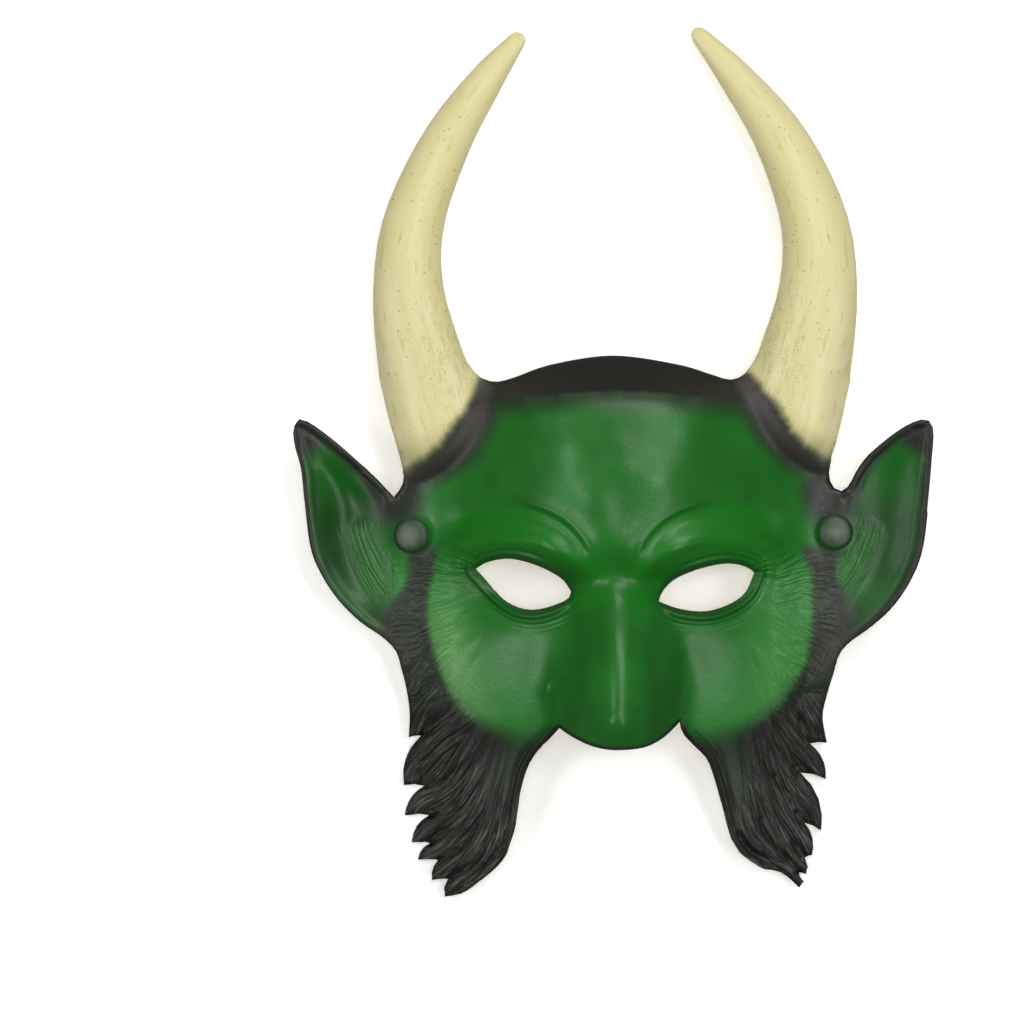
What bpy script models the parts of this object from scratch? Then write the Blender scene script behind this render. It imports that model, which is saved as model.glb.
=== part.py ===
# Horned half mask, moulded in one piece of foam, lying face up with its horn tips towards +Y.
# The face looks along +Z, the forehead is at +Y and the whiskers are at -Y.
# The form is drawn on a grid that is drawn_height units high, one unit to the millimetre at this size.
# Side outlines are drawn outwards: a point is (distance from the middle line, height up the face).

import math

import bmesh
import bpy
import numpy as np
from mathutils import Matrix, Vector
from mathutils.geometry import delaunay_2d_cdt

# Sizes in metres

mask_height = 0.350
wall = 0.0040
stud_cap_diameter = 0.0146
stud_cap_height = 0.0032
stud_rim_height = 0.0010
stud_post_diameter = 0.0044
stud_back_diameter = 0.0110
stud_back_thickness = 0.0018
stud_hole_clearance = 0.0005
seat_gap = 0.0003
seat_diameter = 0.0164

# The drawing grid and how finely it is meshed, in grid units

drawn_height = 350.0
unit = mask_height / drawn_height
face_step = 3.5
plain_step = 4.6
back_step = 7.5
outline_step = 3.2
horn_row_step = 8.0
horn_sides = 16

# Heights of the face above the table, as (height up the face, height above the table)

midline = [(-176, 15), (-150, 22), (-128, 28), (-104, 34), (-80, 38.5), (-64, 44.5), (-50, 50), (-28, 54), (0, 54), (20, 51), (44, 43)]
edge_line = [(-176, 8), (-150, 4.2), (-126, 4.2), (-100, 10.5), (-78, 15), (-30, 16), (16, 18), (44, 20)]
cheek_level = (-44.0, -74.0)
cheek_flatness = 0.62
crown_crease = 27.6
crown_crease_bend = 0.0018
crown_fall = 1.4
crown_edge_roundness = 1.6
crown_side = (28.0, 74.0)
dome_fullness = 1.25

# Nose, as (height up the face, value)

nose_middle = 1.2
nose_rise = [(-116, 28), (-111, 33.5), (-104, 36), (-95, 35), (-85, 31), (-75, 25), (-66, 18), (-58, 10.5), (-52, 5), (-44, 0)]
nose_half_width = [(-116, 28), (-104, 27), (-92, 25.5), (-76, 22), (-60, 17), (-44, 13)]
nose_ridge_roundness = 0.34
nose_foot = 0.16

# Forms of the face on both sides, outwards from the middle line

socket = {"middle": (38, -52), "reach": (25, 10.5), "depth": 7.5}
inner_socket = {"middle": (17, -50), "reach": (9, 10), "depth": 5.0}
cheek = {"middle": (44, -86), "reach": (24, 22), "depth": -3.0}
frown = {"middle": (0, -30), "reach": (12, 13), "depth": -3.0}
bridge_dip = {"middle": (0, -46), "reach": (13, 8), "depth": 2.6}
temple_swell = {"middle": (62, 4), "reach": (16, 20), "depth": -2.0}
brow_roll = [(64, -33.5), (56, -31.5), (45, -30.5), (33, -31), (24, -34.5), (16, -39.5), (12, -44)]
brow_roll_rise = 3.6
brow_roll_reach = 5.2
brow_lip = [(69, -31), (64.2, -21.4), (51.4, -15.6), (39, -15.8), (27.4, -18.8), (18.2, -24), (11, -32.4), (8, -41)]
brow_hollow_depth = 2.8
brow_hollow = (-2.4, 4.0, 13.0)

# Hair: the strands fan out from a point and bend outwards as they go down

fan_origin = (15.6, 12.4)
fan_reach = 172.0
fan_bend = 0.19
lock_rise = 1.6
cheek_patch = {"middle": (36.5, -59.6), "reach": (39.2, 52)}

ear_flare = 0.06
ear_cup_depth = 7.5
ear_root_width = 20.0
ear_rim_width = 2.6
ear_rim_height = 1.0

horn_lift = 3.4
horn_rest = 0.55
horn_root_depth = 0.72
horn_clear = (15.0, 26.0)
collar_width = 15.0
collar_groove = 1.0

crown_middle = (0.0, 42.4)
nose_bottom = (-0.4, -114.8)

sides = {
    "left": {
        "turn": -1,
        "face_half_width": 84.0,
        "horn": [
            (69.6, 14.4, 20.0), (77.0, 39.0, 17.4), (82.2, 68.0, 14.2), (80.0, 96.4, 12.2),
            (67.0, 128.4, 9.9), (50.6, 154.0, 6.8), (38.6, 169.4, 3.6),
        ],
        "crown": [(24.8, 38.8), (39.6, 33.6), (46.8, 31.8), (52.8, 33.2), (58.0, 38.8)],
        "horn_foot": [(94.0, 34.0), (90.4, 18.4), (86.4, 4.4), (84.0, -5.6), (85.0, -10.2), (88.0, -14.4)],
        "ear_top": [(88.0, -14.4), (95.6, -6.4), (105.6, 2.8), (113.6, 9.6), (121.6, 15.4), (125.8, 16.8)],
        "ear_back": [
            (125.8, 16.8), (128.2, 13.0), (127.6, 6.0), (125.2, -3.0), (123.8, -16.0), (121.4, -34.8),
            (117.2, -45.2), (110.4, -55.6), (101.6, -64.4), (92.4, -70.8), (87.2, -76.4), (85.2, -83.0),
            (83.2, -91.0), (81.8, -101.0), (82.2, -111.2),
        ],
        "locks": [
            ((77.2, -110.4), (84.2, -130.4)), ((76.0, -130.8), (83.8, -142.4)), ((74.0, -142.6), (81.0, -153.2)),
            ((73.6, -153.8), (78.5, -160.0)), ((70.4, -160.6), (72.8, -168.4)), ((66.4, -168.2), (67.6, -175.2)),
        ],
        "jaw": [
            (67.6, -175.2), (61.0, -174.0), (54.4, -169.6), (44.6, -160.6), (40.2, -150.0), (38.5, -140.2),
            (37.0, -131.0), (34.4, -122.4), (30.8, -116.4), (26.0, -111.0), (22.2, -106.3),
        ],
        "nose_edge": [(22.2, -106.3), (16.9, -109.8), (8.8, -113.4)],
        "eye_top": [(55.6, -43.6), (51.2, -40.8), (43.6, -39.1), (36.5, -39.9), (28.0, -42.9), (20.6, -47.2), (17.1, -52.0)],
        "eye_bottom": [(17.1, -52.0), (18.3, -55.0), (25.0, -57.9), (32.4, -59.4), (39.4, -58.0), (46.0, -53.6), (55.6, -43.6)],
        "collar": [(106.0, -18.0), (90.0, -13.0), (75.6, -7.6), (65.6, -2.0), (56.4, 6.4), (50.8, 16.4), (47.6, 26.4), (45.4, 36.0), (43.0, 60.0)],
        "stud": (80.4, -29.6),
    },
    "right": {
        "turn": 1,
        "face_half_width": 87.6,
        "horn": [
            (70.4, 14.4, 21.0), (76.6, 39.0, 19.0), (82.2, 68.0, 15.8), (80.8, 96.4, 13.5),
            (68.0, 128.4, 10.7), (50.0, 154.0, 7.0), (34.8, 171.6, 3.4),
        ],
        "crown": [(26.0, 38.8), (39.2, 34.8), (46.8, 32.6), (52.4, 34.8), (57.0, 41.0)],
        "horn_foot": [(95.4, 34.0), (92.4, 19.6), (89.6, 8.4), (87.2, -0.4), (86.8, -6.4), (88.8, -10.8), (91.6, -12.0)],
        "ear_top": [(91.6, -12.0), (94.6, -9.8), (98.4, -2.8), (103.2, 3.2), (111.2, 10.0), (118.4, 14.8), (123.4, 16.7)],
        "ear_back": [
            (123.4, 16.7), (127.0, 15.8), (128.3, 11.0), (127.6, 0.0), (126.2, -15.6), (124.0, -34.8),
            (119.2, -47.6), (111.6, -58.8), (102.4, -67.2), (94.8, -72.8), (90.8, -77.8), (88.8, -85.0),
            (86.0, -94.4), (84.4, -103.0), (86.3, -113.4),
        ],
        "locks": [
            ((79.4, -113.6), (86.0, -128.0)), ((75.6, -125.4), (83.9, -148.8)), ((77.3, -145.6), (80.2, -158.6)),
            ((77.4, -159.6), (77.6, -166.2)), ((75.0, -165.6), (74.8, -171.6)),
        ],
        "jaw": [
            (74.8, -171.6), (70.8, -167.6), (66.7, -165.1), (61.0, -163.8), (54.4, -159.8), (49.2, -154.6),
            (45.4, -144.6), (43.0, -135.2), (40.6, -127.0), (37.6, -119.4), (32.4, -114.0), (28.0, -108.8), (26.7, -103.8),
        ],
        "nose_edge": [(26.7, -103.8), (24.0, -106.7), (19.0, -110.8), (11.6, -114.0)],
        "eye_top": [(17.6, -56.0), (19.8, -51.6), (25.0, -46.8), (35.2, -42.8), (45.4, -41.0), (53.1, -42.4), (56.8, -45.1)],
        "eye_bottom": [(56.8, -45.1), (53.1, -52.4), (46.4, -57.2), (36.8, -60.0), (26.4, -59.0), (17.6, -56.0)],
        "collar": [(106.0, -13.0), (91.0, -7.6), (78.4, -3.6), (68.4, 2.4), (60.4, 10.4), (54.4, 19.6), (49.6, 27.6), (44.6, 36.0), (42.0, 60.0)],
        "stud": (88.8, -28.4),
    },
}


# Curves on the drawing grid


def ramp(low, high, value):
    t = np.clip((value - low) / (high - low), 0, 1)
    return t * t * (3 - 2 * t)


def rounded(value, width):
    """value above zero and nothing below it, with the corner between them rounded over width."""
    return (value + np.sqrt(value * value + width * width)) / 2


def profile(knots, at):
    """A smooth curve through (place, value) knots, level beyond its ends."""
    place, value = np.array(knots, float).T
    slope = np.gradient(value, place)
    at = np.clip(at, place[0], place[-1])
    i = np.clip(np.searchsorted(place, at, side="right") - 1, 0, len(place) - 2)
    span = place[i + 1] - place[i]
    t = (at - place[i]) / span
    start = (1 + 2 * t) * (1 - t) ** 2 * value[i] + t * (1 - t) ** 2 * span * slope[i]
    end = t * t * (3 - 2 * t) * value[i + 1] + t * t * (t - 1) * span * slope[i + 1]
    return start + end


def smooth_curve(points, cuts=8):
    """Points along a smooth curve through the given ones, whatever they hold: a place, or a place and a radius."""
    points = np.array(points, float)
    before = np.vstack([2 * points[0] - points[1], points[:-1]])
    after = np.vstack([points[1:], 2 * points[-1] - points[-2]])
    slope = (after - before) / 2
    made = []
    for i in range(len(points) - 1):
        for t in np.arange(cuts) / cuts:
            made.append(
                (1 + 2 * t) * (1 - t) ** 2 * points[i] + t * (1 - t) ** 2 * slope[i]
                + t * t * (3 - 2 * t) * points[i + 1] + t * t * (t - 1) * slope[i + 1]
            )
    return np.array([*made, points[-1]])


def to_middle(points, cuts=8):
    """A smooth curve that ends on the middle line in the direction of its own mirror image."""
    return smooth_curve([*points, (-points[-2][0], points[-2][1])], cuts)[:-cuts]


def spaced(curve, step):
    """The curve again with its points evenly about one step apart, its two ends kept."""
    along = np.concatenate([[0], np.cumsum(np.hypot(*np.diff(curve[:, :2], axis=0).T))])
    count = max(1, round(along[-1] / step))
    at = np.linspace(0, along[-1], count + 1)
    return np.column_stack([np.interp(at, along, column) for column in curve.T])


def bowed(start, end, bow, cuts=4):
    """An arc from start to end that stands off their straight line by bow times its length."""
    start, end = np.array(start, float), np.array(end, float)
    across = np.array([end[1] - start[1], start[0] - end[0]]) * bow
    return np.array([start + (end - start) * t + across * 4 * t * (1 - t) for t in np.linspace(0, 1, cuts + 1)])


def nearest(x, y, curve):
    """How far each point is from the curve, how far along it, as a share, and on which side: +1 is its left."""
    best = np.full(np.shape(x), np.inf)
    share = np.zeros(np.shape(x))
    hand = np.ones(np.shape(x))
    along = np.concatenate([[0], np.cumsum(np.hypot(*np.diff(curve[:, :2], axis=0).T))])
    for i, (a, b) in enumerate(zip(curve[:-1, :2], curve[1:, :2])):
        dx, dy = b - a
        t = np.clip(((x - a[0]) * dx + (y - a[1]) * dy) / (dx * dx + dy * dy), 0, 1)
        off = np.hypot(x - a[0] - t * dx, y - a[1] - t * dy)
        closer = off < best
        best = np.where(closer, off, best)
        share = np.where(closer, (along[i] + t * (along[i + 1] - along[i])) / along[-1], share)
        hand = np.where(closer, np.where(dx * (y - a[1]) - dy * (x - a[0]) > 0, 1, -1), hand)
    return best, share, hand


# The form, as heights above the table


def hollow(u, y, place):
    """A round dip in the face, its depth taken from the height; a negative depth is a swelling."""
    across = (u - place["middle"][0]) / place["reach"][0]
    up = (y - place["middle"][1]) / place["reach"][1]
    return -place["depth"] * np.exp(-across * across - up * up)


def face_form(x, y, side):
    u = np.abs(x)
    middle, edge = profile(midline, y), profile(edge_line, y)
    out = np.minimum(u / side["face_half_width"], 1)
    domed = (1 - np.cos(math.pi * out**dome_fullness)) / 2
    turned = domed + (out * out * (1.5 - 0.5 * out) - domed) * cheek_flatness * ramp(*cheek_level, y)
    z = middle - (middle - edge) * turned
    beyond = rounded(y - crown_crease + crown_crease_bend * u * u, crown_edge_roundness)
    z -= crown_fall * beyond * (1 - ramp(*crown_side, u))
    for place in (socket, inner_socket, cheek, frown, bridge_dip, temple_swell):
        z += hollow(u, y, place)
    off, _, _ = nearest(u, y, smooth_curve(brow_roll, 4))
    z += brow_roll_rise * np.exp(-((off / brow_roll_reach) ** 2))
    q = (x - nose_middle) / profile(nose_half_width, y)
    k = nose_ridge_roundness
    section = (math.sqrt(1 + k * k) - np.sqrt(q * q + k * k)) / (math.sqrt(1 + k * k) - k)
    return z + profile(nose_rise, y) * rounded(section, nose_foot)


def ear_form(u, y, side):
    """What the ear adds to the flat edge of the face: a flare outwards and the cup inside its rim."""
    root = side["ear_top"][0][0]
    from_top, _, _ = nearest(u, y, smooth_curve(side["ear_top"], 4))
    from_back, _, _ = nearest(u, y, smooth_curve(side["ear_back"], 4))
    cup = ramp(ear_rim_width, 15, from_back) * ramp(3, 13, from_top) * ramp(root, root + ear_root_width, u)
    bead = np.exp(-(((from_back - ear_rim_width) / ear_rim_width) ** 2)) * ramp(root + 4, root + 16, u)
    return ear_flare * np.maximum(u - root, 0) - ear_cup_depth * cup + ear_rim_height * bead


def strand(u, y):
    """Which strand of hair a point is on: the same all along one strand."""
    out, down = u - fan_origin[0], fan_origin[1] - y
    return np.arctan2(out, down) - fan_bend * (np.hypot(out, down) / fan_reach) ** 3


def lock_form(u, y, side):
    """The locks of hair, each a rounded ridge between two notches of the fringe."""
    notches = np.array([side["ear_back"][-1], *[notch for notch, _ in side["locks"]], side["jaw"][1]])
    marks = strand(notches[:, 0], notches[:, 1])[::-1]
    at = strand(u, y)
    inwards = np.minimum(at - marks[0], 0) / (marks[-1] - marks[0]) * len(marks)
    lock = np.interp(at, marks, np.arange(len(marks))) + inwards
    patch = np.hypot((u - cheek_patch["middle"][0]) / cheek_patch["reach"][0],
                     (y - cheek_patch["middle"][1]) / cheek_patch["reach"][1])
    grown = ramp(1.05, 1.9, patch) * ramp(-88, -128, y)
    return lock_rise * grown * (np.abs(np.sin(math.pi * lock)) - 0.5)


def stud_seat(side):
    """The flat seat of a stud: its middle and its outward normal, on the grid."""
    u, y = side["stud"]
    x = side["turn"] * u
    reach = 6.0
    around = [skin_form(np.array(x + dx), np.array(y + dy), side) for dx, dy in
              ((reach, 0), (-reach, 0), (0, reach), (0, -reach), (0, 0))]
    fall_x, fall_y = (around[0] - around[1]) / (2 * reach), (around[2] - around[3]) / (2 * reach)
    return Vector((x, y, float(around[4]))), Vector((-fall_x, -fall_y, 1)).normalized()


def skin_form(x, y, side):
    u = np.abs(x)
    return face_form(x, y, side) + ear_form(u, y, side)


def seated(z, x, y, side):
    """The height z with the stud's flat seat let into it."""
    middle, normal = stud_seat(side)
    plane = middle.z - ((x - middle.x) * normal.x + (y - middle.y) * normal.y) / normal.z
    radius = seat_diameter / unit / 2
    return plane + (z - plane) * ramp(radius, radius * 2, np.hypot(x - middle.x, y - middle.y))


def horn_axis(side):
    """Stations along a horn: outwards, up, height above the table, radius, half depth and how far along it is.
    Its root is flattened, and its back only touches the table at horn_rest."""
    curve = smooth_curve(side["horn"], 6)
    along = np.concatenate([[0], np.cumsum(np.hypot(*np.diff(curve[:, :2], axis=0).T))])
    share = along / along[-1]
    half_depth = curve[:, 2] * (horn_root_depth + (1 - horn_root_depth) * ramp(0, 0.4, share))
    level = half_depth + horn_lift * ((share - horn_rest) / horn_rest) ** 2 - 0.2
    return np.column_stack([curve[:, :2], level, curve[:, 2], half_depth, along])


def horn_form(u, y, side):
    """Front and back of the horn, the height of its axis, how much a point is on the free horn,
    how far up from the collar it is and how near it is to the horn at all."""
    axis = horn_axis(side)
    off, share, _ = nearest(u, y, axis)
    along = share * axis[-1, 5]
    level, radius, half_depth = [np.interp(along, axis[:, 5], axis[:, column]) for column in (2, 3, 4)]
    depth = half_depth / radius
    bulge = depth * np.sqrt(np.maximum(radius * radius - off * off, 0)) - 2.5 * np.maximum(off - radius, 0)
    free = ramp(*horn_clear, along) * ramp(1.6, 1.1, off / radius)
    from_collar, _, hand = nearest(u, y, smooth_curve(side["collar"], 4))
    up = np.maximum(from_collar * hand * -1, free * 40)
    return level + bulge, level - bulge, level, free, up, ramp(1.9, 1.3, off / radius)


def skin_heights(x, y, side):
    """The front and the back of the moulding at grid points on one side of the face."""
    u = np.abs(x)
    wall_units = wall / unit
    skin = seated(skin_form(x, y, side), x, y, side)
    nudge = 0.5
    fall_x = (seated(skin_form(x + nudge, y, side), x + nudge, y, side) - skin) / nudge
    fall_y = (seated(skin_form(x, y + nudge, side), x, y + nudge, side) - skin) / nudge
    inner = skin - np.minimum(wall_units * np.sqrt(1 + fall_x**2 + fall_y**2), 2.4 * wall_units)
    off, share, hand = nearest(u, y, smooth_curve(brow_lip, 4))
    start, sunk, end = brow_hollow
    under = off * hand
    hollowed = ramp(start, sunk, under) * (1 - ramp(sunk, end, under)) * ramp(0, 0.12, share) * ramp(1, 0.88, share)
    front = skin - brow_hollow_depth * hollowed + lock_form(u, y, side)
    horn_front, horn_back, level, free, up, near = horn_form(u, y, side)
    front += (level - front) * free
    inner += (level - inner) * free
    fillet = 3.0 - 2.0 * free
    front += rounded(horn_front - front, fillet) * ramp(0, collar_width, up)
    front -= collar_groove * near * np.exp(-((up / 1.8) ** 2))
    inner -= rounded(inner - horn_back, fillet) * ramp(-2, collar_width, up)
    return front, np.maximum(inner, 0)


def heights(x, y):
    left = skin_heights(x, y, sides["left"])
    right = skin_heights(x, y, sides["right"])
    return [np.where(x < 0, a, b) for a, b in zip(left, right)]


# Outlines


def horn_rows(side):
    """Rows of points across the horn, from above its foot to its tip, each spread as round a circle."""
    axis = spaced(horn_axis(side)[6:, :4], horn_row_step)
    along = np.gradient(axis[:, :2], axis=0)
    along /= np.hypot(*along.T)[:, None]
    across = np.column_stack([along[:, 1], -along[:, 0]])
    turns = np.cos(np.linspace(0, math.pi, horn_sides // 2 + 1))
    return [[place[:2] + side_on * place[3] * t for t in turns] for place, side_on in zip(axis, across)]


def guide_rows(side):
    """Points along the narrow forms that the free grid would miss: the ear's rim and the edge of the crown."""
    back = spaced(smooth_curve(side["ear_back"]), 1.2 * outline_step)
    along = np.gradient(back, axis=0)
    along /= np.hypot(*along.T)[:, None]
    inwards = np.column_stack([along[:, 1], -along[:, 0]])
    rows = [back[2:-12] + inwards[2:-12] * ear_rim_width * times for times in (1, 2.4)]
    out = np.arange(0.5, 42, face_step)
    return [*rows, np.column_stack([out, crown_crease - crown_crease_bend * out * out])]


def half_outline(side):
    """The outline of one side, from the middle of the crown round the horn, the ear and the fringe to the nose."""
    rows = horn_rows(side)
    outer, inner = [row[0] for row in rows], [row[-1] for row in rows]
    tip_centre = (rows[-1][0] + rows[-1][-1]) / 2
    tip_radius = np.linalg.norm(rows[-1][0] - tip_centre)
    ahead = tip_centre - (rows[-2][0] + rows[-2][-1]) / 2
    ahead *= tip_radius / np.linalg.norm(ahead)
    side_on = inner[-1] - tip_centre
    tip = [tip_centre + side_on * math.cos(a) + ahead * math.sin(a) for a in np.radians((45, 90, 135))]
    curves = [spaced(to_middle([inner[0], *side["crown"][::-1], crown_middle])[::-1], outline_step)]
    curves.append(np.array([*inner, *tip, *outer[::-1]]))
    curves.append(spaced(smooth_curve([outer[0], *side["horn_foot"]]), outline_step))
    curves.append(spaced(smooth_curve(side["ear_top"]), outline_step))
    curves.append(spaced(smooth_curve(side["ear_back"]), outline_step))
    last_tip = side["ear_back"][-1]
    for notch, tip_end in side["locks"]:
        curves.append(bowed(last_tip, notch, 0.06, 2))
        curves.append(spaced(bowed(notch, tip_end, -0.14), outline_step))
        last_tip = tip_end
    curves.append(spaced(smooth_curve(side["jaw"]), outline_step))
    curves.append(spaced(to_middle([*side["nose_edge"], nose_bottom]), outline_step))
    points = np.vstack([curve[:-1] for curve in curves])
    return points * (side["turn"], 1)


def outline():
    left, right = half_outline(sides["left"]), half_outline(sides["right"])
    # nose_bottom is drawn once, on the left, and closes both halves
    return np.vstack([right, [nose_bottom], left[:0:-1]])


def eye_hole(side):
    top = spaced(smooth_curve(side["eye_top"]), 0.8 * outline_step)
    bottom = spaced(smooth_curve(side["eye_bottom"]), 0.8 * outline_step)
    return np.vstack([top[:-1], bottom[:-1]]) * (side["turn"], 1)


def inside(x, y, loop):
    """Which points lie inside a closed loop, by counting the edges to one side of each."""
    within = np.zeros(np.shape(x), bool)
    for (ax, ay), (bx, by) in zip(loop, np.roll(loop, -1, axis=0)):
        if ay != by:
            crosses = (ay > y) != (by > y)
            within ^= crosses & (x < ax + (y - ay) * (bx - ax) / (by - ay))
    return within


# Meshing


def grid_points(step):
    """Points of a triangular grid over the whole drawing."""
    rise = step * math.sqrt(0.75)
    rows = np.arange(-drawn_height / 2, drawn_height / 2, rise)
    columns = np.arange(-150, 150, step)
    x, y = np.meshgrid(columns, rows)
    x = x + np.where(np.arange(len(rows)) % 2, step / 2, 0)[:, None]
    return x.ravel(), y.ravel()


def fill_points(loops, step, only=None):
    """Grid points inside the outline and outside the eyes, clear of their edges and of the horns' own rows."""
    x, y = grid_points(step)
    keep = inside(x, y, loops[0])
    for loop in loops[1:]:
        keep &= ~inside(x, y, loop)
    for loop in loops:
        off, _, _ = nearest(x, y, np.vstack([loop, loop[:1]]))
        keep &= off > 0.6 * step
    for side in sides.values():
        rows = horn_rows(side)
        foot, next_row = (rows[0][0] + rows[0][-1]) / 2, (rows[1][0] + rows[1][-1]) / 2
        past = ((x * side["turn"] - foot[0]) * (next_row - foot)[0] + (y - foot[1]) * (next_row - foot)[1]) > -step * 4
        keep &= ~(past & (y > 44) & (x * side["turn"] > 0))
        for row in guide_rows(side):
            off, _, _ = nearest(x, y, row * (side["turn"], 1))
            keep &= off > 0.55 * step
    if only is not None:
        keep &= only(x, y)
    return np.column_stack([x, y])[keep]


def in_detail(x, y):
    """Where the face needs the finer grid: round the eyes, the brows and the nose, and in the hair."""
    face = (np.abs(x) < 66) & (y < -8) & (y > -120)
    return face | (y < -96)


def sheet(loops, free_points):
    """Points and triangles that fill the outline round the eyes."""
    points = np.vstack([*loops, free_points])
    edges, start = [], 0
    for loop in loops:
        edges += [(start + i, start + (i + 1) % len(loop)) for i in range(len(loop))]
        start += len(loop)
    made = delaunay_2d_cdt([Vector(p) for p in points], edges, [], 0, 1e-6)
    places = np.array([tuple(v) for v in made[0]])
    back_to = [sources[0] for sources in made[3]]
    faces = np.array([[back_to[i] for i in face] for face in made[2]])
    middle = points[faces].mean(axis=1)
    keep = inside(middle[:, 0], middle[:, 1], loops[0])
    for loop in loops[1:]:
        keep &= ~inside(middle[:, 0], middle[:, 1], loop)
    assert len(places) == len(points), "the outline crosses itself or two points meet"
    return points, faces[keep]


def moulding_mesh():
    """The moulding: a fine front sheet and a coarse back sheet over one outline, joined by walls round every edge."""
    loops = [outline(), eye_hole(sides["left"]), eye_hole(sides["right"])]
    rows = [p * (side["turn"], 1) for side in sides.values() for row in horn_rows(side) for p in row[1:-1]]
    guides = [row * (side["turn"], 1) for side in sides.values() for row in guide_rows(side)]
    fine = fill_points(loops, face_step, in_detail)
    plain = fill_points(loops, plain_step, lambda x, y: ~in_detail(x, y))
    coarse = fill_points(loops, back_step)
    front_points, front_faces = sheet(loops, np.vstack([rows, *guides, fine, plain]))
    back_points, back_faces = sheet(loops, np.vstack([rows, coarse]))
    edge_count = sum(len(loop) for loop in loops)
    bm = bmesh.new()
    top = [bm.verts.new((x * unit, y * unit, z * unit))
           for (x, y), z in zip(front_points, heights(*front_points.T)[0])]
    under = [bm.verts.new((x * unit, y * unit, z * unit))
             for (x, y), z in zip(back_points, heights(*back_points.T)[1])]
    for face in front_faces:
        bm.faces.new([top[i] for i in face])
    for face in back_faces:
        bm.faces.new([under[i] for i in face[::-1]])
    start = 0
    for loop in loops:
        for i in range(len(loop)):
            a, b = start + i, start + (i + 1) % len(loop)
            bm.faces.new([top[a], top[b], under[b]])
            bm.faces.new([top[a], under[b], under[a]])
        start += len(loop)
    assert edge_count == start
    bmesh.ops.recalc_face_normals(bm, faces=bm.faces)
    return finished_mesh("moulded_mask", bm)


# Objects


def finished_mesh(name, bm):
    mesh = bpy.data.meshes.new(name)
    bm.to_mesh(mesh)
    bm.free()
    mesh.shade_smooth()
    mesh.set_sharp_from_angle(angle=math.radians(40))
    return mesh


def material(name, colour, roughness):
    made = bpy.data.materials.new(name)
    made.use_nodes = True
    shader = made.node_tree.nodes["Principled BSDF"]
    shader.inputs["Base Color"].default_value = (*colour, 1)
    shader.inputs["Roughness"].default_value = roughness
    return made


def add(name, mesh, finish):
    made = bpy.data.objects.new(name, mesh)
    bpy.context.scene.collection.objects.link(made)
    mesh.materials.append(finish)
    return made


def seat_frame(side):
    """Where a stud stands: its seat's middle, with the frame's own Z along the seat's normal."""
    middle, normal = stud_seat(side)
    turn = normal.to_track_quat("Z", "Y").to_matrix().to_4x4()
    return Matrix.Translation(middle * unit) @ turn


def turned(profile_points, around):
    """A turned solid from (radius, height) points that start and end on its axis, listed from the top down."""
    bm = bmesh.new()
    verts = [bm.verts.new((r, 0, z)) for r, z in profile_points]
    edges = [bm.edges.new(pair) for pair in zip(verts[:-1], verts[1:])]
    bmesh.ops.spin(bm, geom=[*verts, *edges], axis=(0, 0, 1), cent=(0, 0, 0), angle=math.tau, steps=around,
                   use_merge=True)
    bmesh.ops.remove_doubles(bm, verts=bm.verts, dist=1e-6)
    bmesh.ops.recalc_face_normals(bm, faces=bm.faces)
    return bm


def stud_mesh(name):
    """A domed cap on the front, a post through the wall and a flat button behind it."""
    cap, post, back = stud_cap_diameter / 2, stud_post_diameter / 2, stud_back_diameter / 2
    behind = -wall - seat_gap
    dome_rise = stud_cap_height - stud_rim_height
    dome = [(cap * math.sin(a), seat_gap + stud_rim_height + dome_rise * math.cos(a))
            for a in np.linspace(0, math.pi / 2, 7)]
    points = [
        *dome, (cap, seat_gap), (post, seat_gap), (post, behind), (back, behind),
        (back, behind - stud_back_thickness), (0, behind - stud_back_thickness),
    ]
    return finished_mesh(name, turned(points, 24))


def build_mask():
    foam = material("painted_foam", (0.012, 0.13, 0.016), 0.38)
    mask = add("moulded_mask", moulding_mesh(), foam)
    for name, side in sides.items():
        cutter_mesh = bpy.data.meshes.new(f"stud_hole_{name}")
        bm = bmesh.new()
        radius = stud_post_diameter / 2 + stud_hole_clearance
        bmesh.ops.create_cone(bm, cap_ends=True, segments=16, radius1=radius, radius2=radius, depth=6 * wall)
        bm.to_mesh(cutter_mesh)
        bm.free()
        cutter = bpy.data.objects.new(f"stud_hole_{name}", cutter_mesh)
        bpy.context.scene.collection.objects.link(cutter)
        cutter.matrix_world = seat_frame(side)
        cutter.hide_render = True
        cutter.display_type = "WIRE"
        hole = mask.modifiers.new(f"stud hole {name}", "BOOLEAN")
        hole.operation = "DIFFERENCE"
        hole.object = cutter
    return mask


def build_studs():
    lacquer = material("lacquered_cap", (0.02, 0.03, 0.022), 0.3)
    for name, side in sides.items():
        stud = add(f"strap_stud_{name}", stud_mesh(f"strap_stud_{name}"), lacquer)
        stud.matrix_world = seat_frame(side)


def main():
    for old in list(bpy.data.objects):
        bpy.data.objects.remove(old)
    build_mask()
    build_studs()


main()
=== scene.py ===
# A horned half mask of painted foam, lying face up on a pale table.
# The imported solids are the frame: the mask's skin is their surface made smooth, carved and painted.
# Places on the face are in millimetres: u is outwards from the middle line, y is up the face.
import math
import bmesh
import bpy
import numpy as np
from mathutils import Matrix, Quaternion, Vector
from mathutils.kdtree import KDTree


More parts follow.
